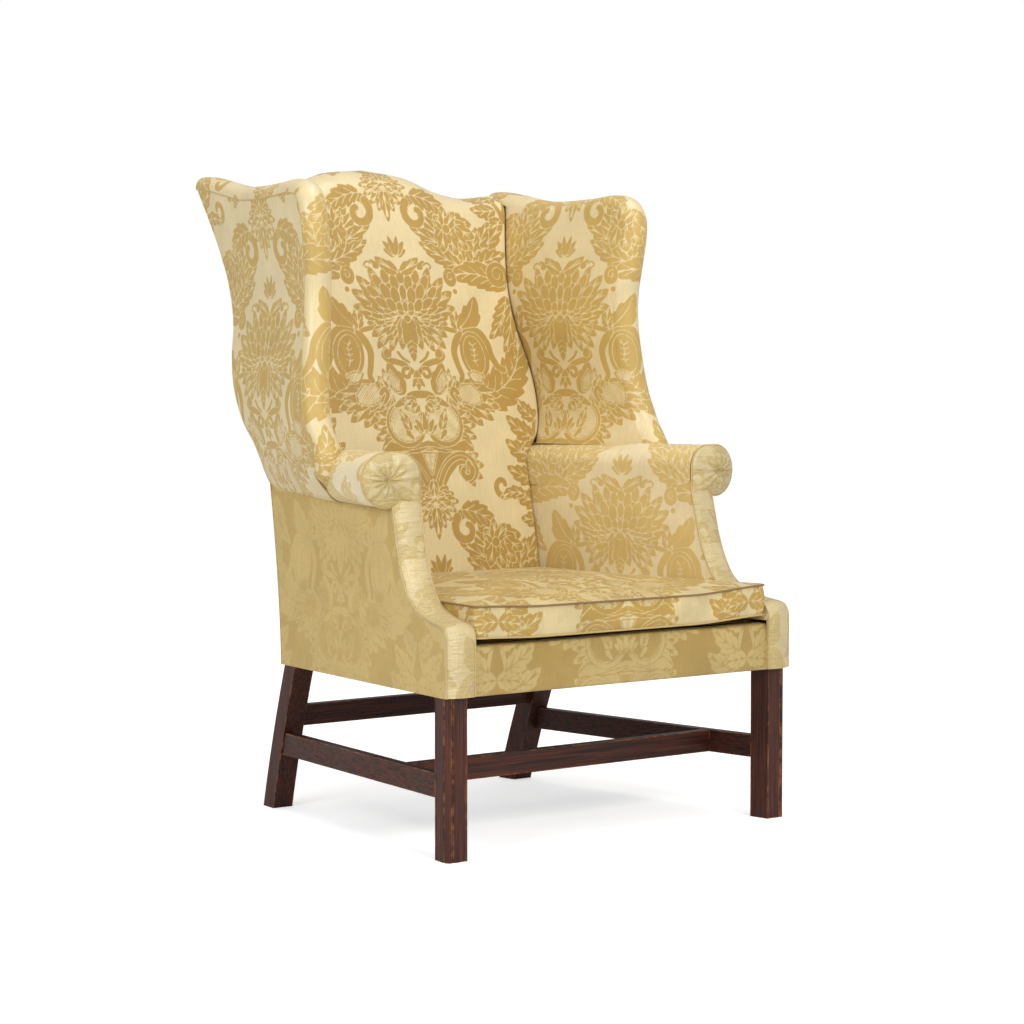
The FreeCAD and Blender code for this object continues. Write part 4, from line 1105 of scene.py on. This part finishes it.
def make_arm(name, way, material, place):
    """One cloth over the arm: under the roll, round it, over the top and down the inside."""
    arm_length = 420.0
    top_length = 24.0
    belly_depth = 5.0
    belly_height = 258.0
    roll_turn = np.radians(np.arange(roll_tuck, 90.0, math.degrees(spacing / arm_scroll_radius)))
    top_run = np.linspace(0.0, 1.0, max(3, int(top_length / spacing)), endpoint=False)
    inner_turn = np.radians(np.arange(90.0, 180.0, math.degrees(spacing / arm_top_radius)))
    drop_z = np.arange(arm_height - arm_top_radius, tuck_height, -spacing)
    columns = int(arm_length / spacing)
    share = np.linspace(0.0, 1.0, columns)[None, :]

    height_guess = np.concatenate([
        np.full(len(roll_turn) + len(top_run), arm_height),
        arm_height - arm_top_radius * (1.0 - np.sin(inner_turn)),
        drop_z,
    ])[:, None]
    path = np.array(facing_path[2:])
    front = np.interp(height_guess, path[:, 1], path[:, 0])
    back = rear(np.minimum(height_guess, 640.0)) - back_thickness + 14.0
    y = front + (back - front) * share
    roll_x, roll_z, radius = roll_at(y)
    shrink = 4.0 * ease(346.0, 358.0, y)
    inner_x = side(y) - arm_thickness
    count_a, count_b, count_c = len(roll_turn), len(top_run), len(inner_turn)
    x = np.empty_like(y)
    z = np.empty_like(y)
    a = slice(0, count_a)
    x[a] = roll_x[a] + (radius - shrink)[a] * np.cos(roll_turn)[:, None]
    z[a] = roll_z[a] + (radius - shrink)[a] * np.sin(roll_turn)[:, None]
    b = slice(count_a, count_a + count_b)
    far = (inner_x + arm_top_radius)[b]
    x[b] = roll_x[b] + (far - roll_x[b]) * top_run[:, None]
    z[b] = arm_height - shrink[b]
    c = slice(count_a + count_b, count_a + count_b + count_c)
    x[c] = inner_x[c] + arm_top_radius + arm_top_radius * np.cos(inner_turn)[:, None]
    z[c] = arm_height - arm_top_radius + (arm_top_radius - shrink[c]) * np.sin(inner_turn)[:, None]
    d = slice(count_a + count_b + count_c, None)
    rise = np.clip((drop_z[:, None] - tuck_height) / belly_height, 0.0, 1.0)
    belly = belly_depth * np.sin(share * math.pi) * np.sin(rise * math.pi)
    x[d] = inner_x[d] - belly
    z[d] = drop_z[:, None] + 0.0 * share
    depth_in = side(y) - x
    lean = taper * np.maximum(depth_in, -60.0) * (1.0 - share)
    points = np.stack([x, y - lean, z], -1)
    arc = run_length(points)
    climb = arm_height - arm_top_radius - (arc - arc[count_a + count_b + count_c])
    cloth = np.stack([y, climb], -1)
    return grid_piece(name, points, way, material, cloth, place, flip=True)


def make_facing(name, way, material, place):
    """Rounded strip up the front of an arm, from the bottom of the rail to the scroll."""
    path = dense(facing_path, spacing)
    ahead = unit(np.gradient(path, axis=0))
    outward = np.stack([-ahead[:, 1], ahead[:, 0]], 1)
    columns = int((arm_thickness + 14.0) / spacing)
    share = np.linspace(-1.0, 1.0, columns)[None, :]
    reach = np.abs(share) * 1.22
    on_face = np.minimum(1.0, reach)
    across = arm_thickness / 2.0 * (1.0 + np.sign(share) * on_face)
    past = np.maximum(0.0, reach - 1.0) * arm_thickness / 2.0
    arc = np.arange(len(path))[:, None] * spacing
    crown = 5.5 * (1.0 - on_face ** 2.4)
    rise = crown - past
    s = path[:, :1] + outward[:, :1] * rise
    z = path[:, 1:] + outward[:, 1:] * rise
    x = side(s) - across
    y = s - taper * across
    points = np.stack([x + 0.0 * s, y, z], -1)
    cloth = np.stack([across + 0.0 * arc, arc + rail_bottom + 0.0 * across], -1)
    piece = grid_piece(name, points, way, material, cloth, place, flip=True)
    outer = np.stack([side(path[:, 0]), path[:, 0], path[:, 1]], 1)
    inner_x = side(path[:, 0]) - arm_thickness
    inner = np.stack([inner_x, path[:, 0] - taper * arm_thickness, path[:, 1]], 1)
    return piece, outer, inner


def scroll_outline():
    """Outline of the arm's front above the neck, as distance in from the side line and height."""
    centre_a = arm_scroll_radius - arm_scroll_overhang
    centre_z = arm_height - arm_scroll_radius
    turn = np.radians(np.arange(-128.0, 91.0, 2.0))
    outer = np.stack([
        centre_a - arm_scroll_radius * np.cos(turn), centre_z + arm_scroll_radius * np.sin(turn)
    ], 1)
    turn = np.radians(np.arange(90.0, -1.0, -3.0))
    inner = np.stack([
        arm_thickness - arm_top_radius + arm_top_radius * np.cos(turn),
        arm_height - arm_top_radius + arm_top_radius * np.sin(turn),
    ], 1)
    neck = np.stack([np.full(8, arm_thickness), np.linspace(598.0, 560.0, 8)], 1)
    return np.concatenate([outer, inner, neck]), np.array([centre_a, centre_z])


def make_scroll(name, way, material, place):
    """Front of an arm scroll, gathered in pleats to its middle."""
    outline, centre = scroll_outline()
    spokes = np.degrees(np.arctan2(outline[:, 1] - centre[1], outline[:, 0] - centre[0]))
    order = np.argsort(spokes)
    reach = np.hypot(*(outline - centre).T)[order]
    count = 180
    turn = np.linspace(-180.0, 180.0, count, endpoint=False)
    radius = np.interp(turn, spokes[order], reach, period=360.0)
    rings = 26
    share = np.linspace(0.02, 1.0, rings)[:, None]
    angle = np.radians(turn)[None, :]
    pleat = np.sin(angle * 13.0 + 1.5 * np.sin(angle * 2.0)) + 0.5 * np.sin(angle * 7.0 + 0.8)
    depth = 11.0 * (1.0 - share ** 2.6) - 5.0 * np.exp(-(share / 0.16) ** 2)
    depth = depth + 1.3 * pleat * np.sin(share * math.pi) ** 0.8 * (1.2 - 0.6 * share)
    a = centre[0] + radius[None, :] * share * np.cos(angle)
    z = centre[1] + radius[None, :] * share * np.sin(angle)
    front = arm_scroll_front - 3.0 - depth
    front[-1] = arm_scroll_front + 1.0
    s = front + 0.0 * a
    points = np.stack([side(s) - a, s - taper * a, z + 0.0 * s], -1)
    middle = points[0].mean(0)
    flat = np.concatenate([points.reshape(-1, 3), middle[None]])
    at = np.arange(rings * count).reshape(rings, count)
    faces = [tuple(f) for f in band_faces(at)]
    hub = len(flat) - 1
    faces += [(hub, int(b), int(c)) for b, c in zip(np.roll(at[0], -1), at[0])]
    cloth = np.concatenate([np.stack([a, z + 0.0 * a], -1).reshape(-1, 2), centre[None]])
    if way < 0:
        flat = mirrored(flat)
        faces = [f[::-1] for f in faces]
    piece = mesh_object(name, flat, faces, material, cloth, damask(cloth, place))
    edge_s = np.full(len(outline), arm_scroll_front - 1.0)
    rim = np.stack([side(edge_s) - outline[:, 0], edge_s - taper * outline[:, 0], outline[:, 1]], 1)
    return piece, rim


def make_outside_arm(name, way, material, place):
    """Flat panel under the roll, from the facing to the back and from the rail to the crease."""
    rows = int((crease_height + 12.0 - rail_bottom) / spacing)
    columns = int(560.0 / spacing)
    climb = np.linspace(0.0, 1.0, rows)[:, None]
    share = np.linspace(0.0, 1.0, columns)[None, :]
    path = np.array(facing_path)
    z = rail_bottom + (crease_height - rail_bottom) * climb + 0.0 * share
    for _ in range(3):
        start = np.interp(z, path[:, 1], path[:, 0])
        y = start + (rear(z) - start) * share
        roll_x, roll_z, radius = roll_at(y)
        meets = roll_z - np.sqrt(np.maximum(radius ** 2 - (side(y) - 4.0 - roll_x) ** 2, 0.0))
        z = rail_bottom - 1.0 + (meets + 5.0 - rail_bottom) * climb
    hollow = 2.5 * np.sin(share * math.pi) * np.sin(climb * math.pi)
    x = side(y) - hollow - 3.0 * ease(0.95, 1.0, climb)
    x = x - 1.5 * np.maximum(0.0, 1.0 - share * columns / 2.0)
    points = np.stack([x, y, z + 0.0 * y], -1)
    cloth = np.stack([y, z + 0.0 * y], -1)
    return grid_piece(name, points, way, material, cloth, place, flip=True)


def make_outside_back(material, place):
    """Outside back panel, from the bottom of the rail to the roll of the crest."""
    rows = int((overall_height - rail_bottom) / (1.4 * spacing))
    columns = int(620.0 / (1.4 * spacing))
    share = np.linspace(-1.0, 1.0, columns)[None, :]
    climb = np.linspace(0.0, 1.0, rows)[:, None]
    x = np.zeros((rows, columns))
    for _ in range(3):
        under_ear = ease(284.0, 300.0, np.abs(x)) * (1.0 - ease(330.0, 352.0, np.abs(x)))
        top = crest_height(x) - roll_over + 14.0 * under_ear
        z = rail_bottom - 1.0 + (top - rail_bottom + 1.0) * climb
        half = np.maximum(side(rear(z)), outer_face(rear(z), z)) + 1.0
        x = half * share
    y = rear(z) + 3.0 * (1.0 - share ** 4) * np.sin(climb * math.pi) ** 0.6
    points = np.stack([x, y, z], -1)
    cloth = np.stack([x, z], -1)
    piece = grid_piece("outside_back_panel", points, 1.0, material, cloth, place, flip=True)
    return ride(piece, "damask", "outside_back_cover")


def make_front_border(material, place):
    """Cover of the front rail, folded back over its top under the cushion."""
    half = side(0.0) - arm_thickness + 4.0
    corner = 6.0
    profile = [
        (12.0, rail_bottom - 1.5),
        (2.0, rail_bottom - 1.5),
        (-2.5, rail_bottom),
        (-cover - 0.5, rail_bottom + 8.0),
        (-cover - 1.0, 300.0),
        (-cover, rail_top + 1.0),
        (-1.0, rail_top + corner + 2.5),
        (4.0, rail_top + corner + 4.5),
        (27.0, rail_top + corner + 5.0),
    ]
    line = dense(profile, spacing)
    columns = int(2.0 * half / spacing)
    x = np.linspace(-half, half, columns)[None, :]
    y = line[:, :1] + 0.8 * np.sin(x / 41.0) * ease(262.0, 330.0, line[:, 1:]) + 0.0 * x
    z = line[:, 1:] + 0.5 * np.sin(x / 57.0 + 1.0) * ease(325.0, 338.0, line[:, 1:]) + 0.0 * x
    points = np.stack([x + 0.0 * y, y, z], -1)
    arc = run_length(line)[:, None]
    cloth = np.stack([x + 0.0 * arc, arc + rail_bottom - 20.0 + 0.0 * x], -1)
    piece = grid_piece("front_rail_cover", points, 1.0, material, cloth, place)
    return ride(piece, "damask", "front_border")


def cushion_outline():
    """Plan outline of the cushion with rounded corners, run round from the middle of its front."""
    front = -6.0
    back = rear(400.0) - back_thickness - 8.0
    half_front = side(0.0) - arm_thickness - 3.0
    half_back = side(back) - arm_thickness - 3.0
    corners = np.array([(half_front, front), (half_back, back), (-half_back, back), (-half_front, front)])
    radius = 16.0
    points = [np.array([0.0, front])]
    for i, corner in enumerate(corners):
        before, after = corners[i - 1], corners[(i + 1) % 4]
        one = (before - corner) / np.linalg.norm(before - corner)
        two = (after - corner) / np.linalg.norm(after - corner)
        for t in np.linspace(0.0, 1.0, 9):
            points.append(corner + radius * (one * (1 - t) ** 2 + two * t ** 2))
    points.append(np.array([0.0, front]))
    points = np.array(points)
    length = np.concatenate([[0.0], np.cumsum(np.linalg.norm(np.diff(points, axis=0), axis=1))])
    count = int(length[-1] / spacing / 4.0) * 4
    want = np.linspace(0.0, length[-1], count, endpoint=False)
    loop = np.stack([np.interp(want, length, c) for c in points.T], 1)
    return loop, front, back, half_front


def make_cushion(material, place):
    """Boxed cushion with a crowned top and bottom, drawn-in border and raised corners."""
    border_height = 52.0
    crown_height = 27.0
    loop, front, back, half_front = cushion_outline()
    count = len(loop)
    middle = np.array([0.0, (front + back) / 2.0])

    def rim_height(points):
        """Lift of the rims above their level: the corners stand up a little, the right most."""
        u = points[..., 0] / half_front
        v = np.clip((points[..., 1] - front) / (back - front), 0.0, 1.0)
        right = ease(0.45, 1.0, u)
        left = ease(0.55, 1.0, -u)
        return (9.0 * right + 5.0 * left) * (1.0 - v) + 8.0 * v

    rings = int(290.0 / spacing)
    share = (1.0 - np.linspace(0.0, 1.0, rings, endpoint=False))[:, None]
    plan = middle + (loop - middle)[None] * share[..., None]
    near = 1.0 - share
    crown = crown_height * (1.0 - (1.0 - near) ** 2.2)
    lift = rim_height(plan) * share
    top_z = cushion_bottom + border_height + lift + crown
    top = np.concatenate([plan, top_z[..., None]], -1)

    under_z = cushion_bottom + 2.0 + rim_height(plan) * share ** 6 * 0.8 + 0.0 * near
    under = np.concatenate([plan, under_z[..., None]], -1)[::-1]

    steps = max(4, int(44.0 / spacing))
    up = np.linspace(0.0, 1.0, steps + 2)[1:-1][:, None]
    out = unit(loop - middle)
    along = run_length(np.concatenate([loop, loop[:1]]))[:-1]
    swell = 3.5 * np.sin(up * math.pi) - 0.5
    pucker = 0.5 * np.sin(along / 4.6)[None, :] * (1.0 - np.sin(up * math.pi)) ** 2
    border = loop[None] + out[None] * (swell + pucker)[..., None]
    low_z = under[-1, :, 2]
    high_z = top[0, :, 2]
    border_z = low_z[None] + (high_z - low_z)[None] * up
    border = np.concatenate([border, border_z[..., None]], -1)

    layers = np.concatenate([under, border, top])
    rows = len(layers)
    points = layers.reshape(-1, 3)
    at = np.arange(rows * count).reshape(rows, count)
    beside = np.roll(at, -1, 1)
    faces = [tuple(f) for f in band_faces(at)]
    hubs = [layers[0].mean(0), layers[-1].mean(0)]
    points = np.concatenate([points, np.array(hubs)])
    base = rows * count
    faces += [(base, int(b), int(a)) for a, b in zip(at[0], beside[0])]
    faces += [(base + 1, int(a), int(b)) for a, b in zip(at[-1], beside[-1])]
    cloth = points[:, :2].copy()
    edge = slice(len(under) * count, (len(under) + len(border)) * count)
    side_points = points[edge]
    facing_front = side_points[:, 1] < front + 20.0
    high = np.tile(high_z, len(border))
    cloth[edge, 1] = np.where(facing_front, front - (high - side_points[:, 2]), side_points[:, 1])
    cloth[edge, 0] = np.where(facing_front, side_points[:, 0], side_points[:, 0] - (high - side_points[:, 2]))
    piece = mesh_object("seat_cushion_cover", points, faces, material, cloth, damask(cloth, place))
    ride(piece, "damask", "seat_cushion", body=CUSHION)
    upper_rim = np.concatenate([loop + out * 1.5, high_z[:, None] - 0.5], 1)
    lower_rim = np.concatenate([loop + out * 1.5, low_z[:, None] + 0.5], 1)
    return upper_rim, lower_rim


def make_deck(material):
    """Stuffed seat deck under the loose cushion."""
    back = rear(deck_top) - back_thickness + 4.0
    first = 22.0
    rows = int((back - first) / 6.0)
    v = np.linspace(0.0, 1.0, rows)[:, None]
    y = first + (back - first) * v
    u = np.linspace(-1.0, 1.0, 100)[None, :]
    x = u * (side(y) - arm_thickness + 3.0)
    z = deck_top - 4.0 + 2.6 * (1.0 - u ** 4) * np.clip(v * 8.0, 0.0, 1.0) + 0.0 * y
    points = np.stack([x, y + 0.0 * x, z], -1)
    cloth = np.stack([x, y + 0.0 * x], -1)
    piece = grid_piece("seat_deck", points, 1.0, material, cloth, LAID["deck"])
    ride(piece, "deck_cloth", "seat_deck_cover", "seat_stuffing")


def upholstery():
    """Every cloth-covered piece and its piping, each tied to its body."""
    lit = cloth_material("damask_lit", CREAM, GOLD)
    # Outside back and outside arms: darker ground and paler figure, painted shade for panels turned away from
    # the light
    shaded_outside = cloth_material("damask_shaded_outside", AMBER, PALE)
    # Wings: the figure lighter than on the inside back, painted light for where the wings stand
    wing = cloth_material("damask_wing", CREAM, WARM_GOLD)
    # Arms: ground and figure both lightened, painted light and satin sheen
    side_lit = cloth_material("damask_side", BRIGHT_CREAM, BRIGHT_GOLD)
    cushion = cloth_material("damask_cushion", SHADED_CREAM, SHADED_GOLD, (0.28, 0.46), shading=0.14)
    # Front rail: darker ground and paler figure, painted shade for the rail under the cushion
    front = cloth_material("damask_front", DEEP, SOFT, shading=0.1)
    # Arm facings and scrolls: the cream ground darkened, painted shade
    plain = cloth_material("damask_gathered", DULL_CREAM, MID, (0.30, 0.5), 0.3, pulls=0.0055, shading=0.1)
    cord = cloth_material("damask_cord", CORD, SOILED)
    sateen = cloth_material("deck_sateen", GOLD, GOLD, (0.7, 0.7), 0.1)
    back = make_inside_back(lit)
    rail = make_front_border(front, LAID["front_rail"])
    upper_rim, lower_rim = make_cushion(cushion, LAID["cushion"])
    tube("seat_cushion_piping", [upper_rim, lower_rim], piping_radius, cord, body=CUSHION, closed=True,
         replaced=("cushion_piping",), dark=(0,))
    make_deck(sateen)
    panel = make_outside_back(shaded_outside, LAID["outside_back"])
    for name, way in WAYS.items():
        piece, flat_seam = make_inside_wing("inside_wing_cover_" + name, way, wing, LAID["inside_wing"])
        ride(piece, "damask", "inside_wing_" + name)
        laid = LAID["outside_wing"]
        outer, seam = make_outside_wing("outside_wing_panel_" + name, way, wing, laid, flat_seam)
        ride(outer, "damask", "outside_wing_" + name)
        tube("wing_piping_" + name, [seam if way > 0 else mirrored(seam)], 1.5, cord)
        arm = make_arm("arm_cover_" + name, way, side_lit, LAID["arm"])
        ride(arm, "damask", "inside_arm_" + name, "arm_roll_" + name)
        laid = LAID["gathered"]
        facing, outer_edge, inner_edge = make_facing("arm_facing_cover_" + name, way, plain, laid)
        ride(facing, "damask", "arm_facing_" + name)
        scroll, rim = make_scroll("arm_scroll_cover_" + name, way, plain, laid)
        ride(scroll, "damask")
        lines = [outer_edge, inner_edge, rim]
        if way < 0:
            lines = [mirrored(p) for p in lines]
        tube("arm_piping_" + name, lines, 1.5, cord)
        panel = make_outside_arm("outside_arm_panel_" + name, way, shaded_outside, LAID["outside_arm"])
        ride(panel, "damask", "outside_arm_" + name)


def wood_material(name, dark, light, worn, along, roughness):
    """Timber with its grain drawn out along one axis, and lighter wear on its edges."""
    material, tree, shader = new_material(name)
    place = node(tree, "TexCoord").outputs["Object"]
    grain = noise(tree, place, 0.0022, 4.0, [60.0 if i == along else 1.0 for i in range(3)])
    figure = noise(tree, place, 0.014, 3.0, [9.0 if i == along else 1.0 for i in range(3)])
    base = mixed(tree, ranged(tree, grain, 0.36, 0.66, 0.0, 1.0), dark, light)
    base = mixed(tree, 1.0, base, ranged(tree, figure, 0.3, 0.7, 0.72, 1.25), "MULTIPLY")
    if worn:
        bevel = node(tree, "Bevel", Radius=0.0035)
        bare = tree.nodes.new("ShaderNodeNewGeometry")
        dot = tree.nodes.new("ShaderNodeVectorMath")
        dot.operation = "DOT_PRODUCT"
        tree.links.new(bevel.outputs["Normal"], dot.inputs[0])
        tree.links.new(bare.outputs["Normal"], dot.inputs[1])
        edge = ranged(tree, dot.outputs["Value"], 0.995, 0.90, 0.0, 1.0)
        rubbed = ranged(tree, noise(tree, place, 0.018, 4.0), 0.44, 0.62, 0.05, 1.0)
        both = tree.nodes.new("ShaderNodeMath")
        both.operation = "MULTIPLY"
        tree.links.new(edge, both.inputs[0])
        tree.links.new(rubbed, both.inputs[1])
        base = mixed(tree, both.outputs["Value"], base, worn)
    tree.links.new(base, shader.inputs["Base Color"])
    tree.links.new(ranged(tree, figure, 0.3, 0.7, roughness, roughness + 0.14), shader.inputs["Roughness"])
    shader.inputs["Specular IOR Level"].default_value = 0.35
    bumped(tree, shader, grain, 0.0002, 0.5)
    return material


def woven_material(name, dark, light, pitch, roughness=0.85):
    """Plain weave of coarse threads in the object's own coordinates."""
    material, tree, shader = new_material(name)
    place = node(tree, "TexCoord").outputs["Object"]
    check = tree.nodes.new("ShaderNodeTexVoronoi")
    check.inputs["Scale"].default_value = 1.0 / pitch
    check.inputs["Randomness"].default_value = 0.15
    tree.links.new(place, check.inputs["Vector"])
    thread = ranged(tree, check.outputs["Distance"], 0.1, 0.6, 1.0, 0.0)
    patchy = noise(tree, place, 0.03, 3.0)
    base = mixed(tree, thread, dark, light)
    base = mixed(tree, 1.0, base, ranged(tree, patchy, 0.3, 0.7, 0.8, 1.12), "MULTIPLY")
    tree.links.new(base, shader.inputs["Base Color"])
    shader.inputs["Roughness"].default_value = roughness
    bumped(tree, shader, thread, 0.0006, 0.6)
    return material


def metal_material(name, colour, metallic, roughness):
    """Metal with small dull spots."""
    material, tree, shader = new_material(name)
    place = node(tree, "TexCoord").outputs["Object"]
    spots = noise(tree, place, 0.004, 4.0)
    base = mixed(tree, 1.0, colour, ranged(tree, spots, 0.3, 0.7, 0.7, 1.15), "MULTIPLY")
    tree.links.new(base, shader.inputs["Base Color"])
    shader.inputs["Metallic"].default_value = metallic
    shader.inputs["Roughness"].default_value = roughness
    return material


def dress_nodes():
    """Each CAD piece gets the material of its kind, found from a word in its name."""
    old = (0.016, 0.0042, 0.0026, 1.0)
    brown = (0.098, 0.023, 0.009, 1.0)
    worn = (0.36, 0.135, 0.045, 1.0)
    beech = (0.40, 0.25, 0.12, 1.0)
    pale_beech = (0.56, 0.38, 0.20, 1.0)
    black = (0.006, 0.006, 0.006, 1.0)
    faded_black = (0.018, 0.017, 0.016, 1.0)
    looks = {
        "upright": wood_material("mahogany_upright", old, brown, worn, 2, 0.44),
        "lengthwise": wood_material("mahogany_lengthwise", old, brown, worn, 1, 0.44),
        "crosswise": wood_material("mahogany_crosswise", old, brown, worn, 0, 0.44),
        "beech_upright": wood_material("beech_upright", beech, pale_beech, None, 2, 0.6),
        "beech_level": wood_material("beech_level", beech, pale_beech, None, 0, 0.6),
        "webbing": woven_material("jute_webbing", (0.24, 0.16, 0.08, 1.0), (0.42, 0.31, 0.17, 1.0), 0.003),
        "hessian": woven_material("jute_hessian", (0.19, 0.12, 0.055, 1.0), (0.36, 0.25, 0.13, 1.0), 0.0022),
        "dust_cover": woven_material("black_linen", black, faded_black, 0.001),
        "tacks": metal_material("blued_iron", (0.03, 0.03, 0.034, 1.0), 0.9, 0.45),
        "screws": metal_material("plain_steel", (0.42, 0.41, 0.39, 1.0), 1.0, 0.35),
        "stuffing": woven_material("calico", (0.42, 0.35, 0.25, 1.0), (0.55, 0.48, 0.36, 1.0), 0.0012),
    }
    kinds = [
        ("cover_tacks", "tacks"),
        ("screws", "screws"),
        ("dust_cover", "dust_cover"),
        ("webbing", "webbing"),
        ("hessian", "hessian"),
        ("leg", "upright"),
        ("side_stretcher", "lengthwise"),
        ("stretcher", "crosswise"),
        ("post", "beech_upright"),
        ("stile", "beech_upright"),
        ("rail", "beech_level"),
        ("blocks", "beech_level"),
        ("", "stuffing"),
    ]
    for name, piece in nodes.items():
        look = next(look for word, look in kinds if word in name)
        piece.data.materials.clear()
        piece.data.materials.append(looks[look])


def camera():
    """Camera at the photograph's place, aim and angle of view."""
    data = bpy.data.cameras.new("camera")
    data.lens = 93.55
    data.sensor_width = 36.0
    seen = bpy.data.objects.new("camera", data)
    seen.location = (-2.83457, -3.72826, 0.77827)
    seen.rotation_euler = (math.radians(90.0 - 3.07), 0.0, -math.radians(37.8666))
    bpy.context.scene.collection.objects.link(seen)
    bpy.context.scene.camera = seen


def lamp(name, place, aim, size, power, colour=(1.0, 1.0, 1.0)):
    data = bpy.data.lights.new(name, "AREA")
    data.shape = "RECTANGLE"
    data.size, data.size_y = size
    data.energy = power
    data.color = colour
    light = bpy.data.objects.new(name, data)
    light.location = place
    way = np.array(aim) - np.array(place)
    light.rotation_euler = Vector(way).to_track_quat("-Z", "Y").to_euler()
    bpy.context.scene.collection.objects.link(light)


def studio():
    """White floor and world, three soft lamps and the plain view transform."""
    half = 12.0
    mesh = bpy.data.meshes.new("floor")
    corners = [(-half, -half, 0), (half, -half, 0), (half, half, 0), (-half, half, 0)]
    mesh.from_pydata(corners, [], [(0, 1, 2, 3)])
    floor = bpy.data.objects.new("floor", mesh)
    bpy.context.scene.collection.objects.link(floor)
    material, tree, shader = new_material("floor")
    shader.inputs["Base Color"].default_value = (0.86, 0.86, 0.86, 1.0)
    shader.inputs["Roughness"].default_value = 1.0
    shader.inputs["Specular IOR Level"].default_value = 0.0
    mesh.materials.append(material)
    # The camera sees the lit floor brightened to white, so only the shadows show on it
    shader.inputs["Emission Color"].default_value = (1.0, 1.0, 1.0, 1.0)
    rays = tree.nodes.new("ShaderNodeLightPath")
    glow = ranged(tree, rays.outputs["Is Camera Ray"], 0.0, 1.0, 0.0, FLOOR_GLOW)
    tree.links.new(glow, shader.inputs["Emission Strength"])
    world = bpy.data.worlds.new("world")
    bpy.context.scene.world = world
    world.use_nodes = True
    tree = world.node_tree
    sky = tree.nodes["Background"]
    sky.inputs["Color"].default_value = (1.0, 1.0, 1.0, 1.0)
    rays = tree.nodes.new("ShaderNodeLightPath")
    strength = ranged(tree, rays.outputs["Is Camera Ray"], 0.0, 1.0, WORLD_LIGHT, 1.0)
    tree.links.new(strength, sky.inputs["Strength"])
    lamp("key", (-0.5, -3.5, 2.4), (0.0, 0.0, 0.7), (1.4, 1.4), 62.0, (1.0, 0.985, 0.95))
    lamp("top", (0.3, -0.6, 3.4), (0.0, 0.0, 0.5), (1.8, 1.8), 30.0)
    lamp("side", (-3.4, -1.2, 2.0), (0.0, 0.0, 0.7), (1.6, 1.6), 48.0)
    bpy.context.scene.view_settings.view_transform = "Standard"


camera()
studio()
dress_nodes()
upholstery()
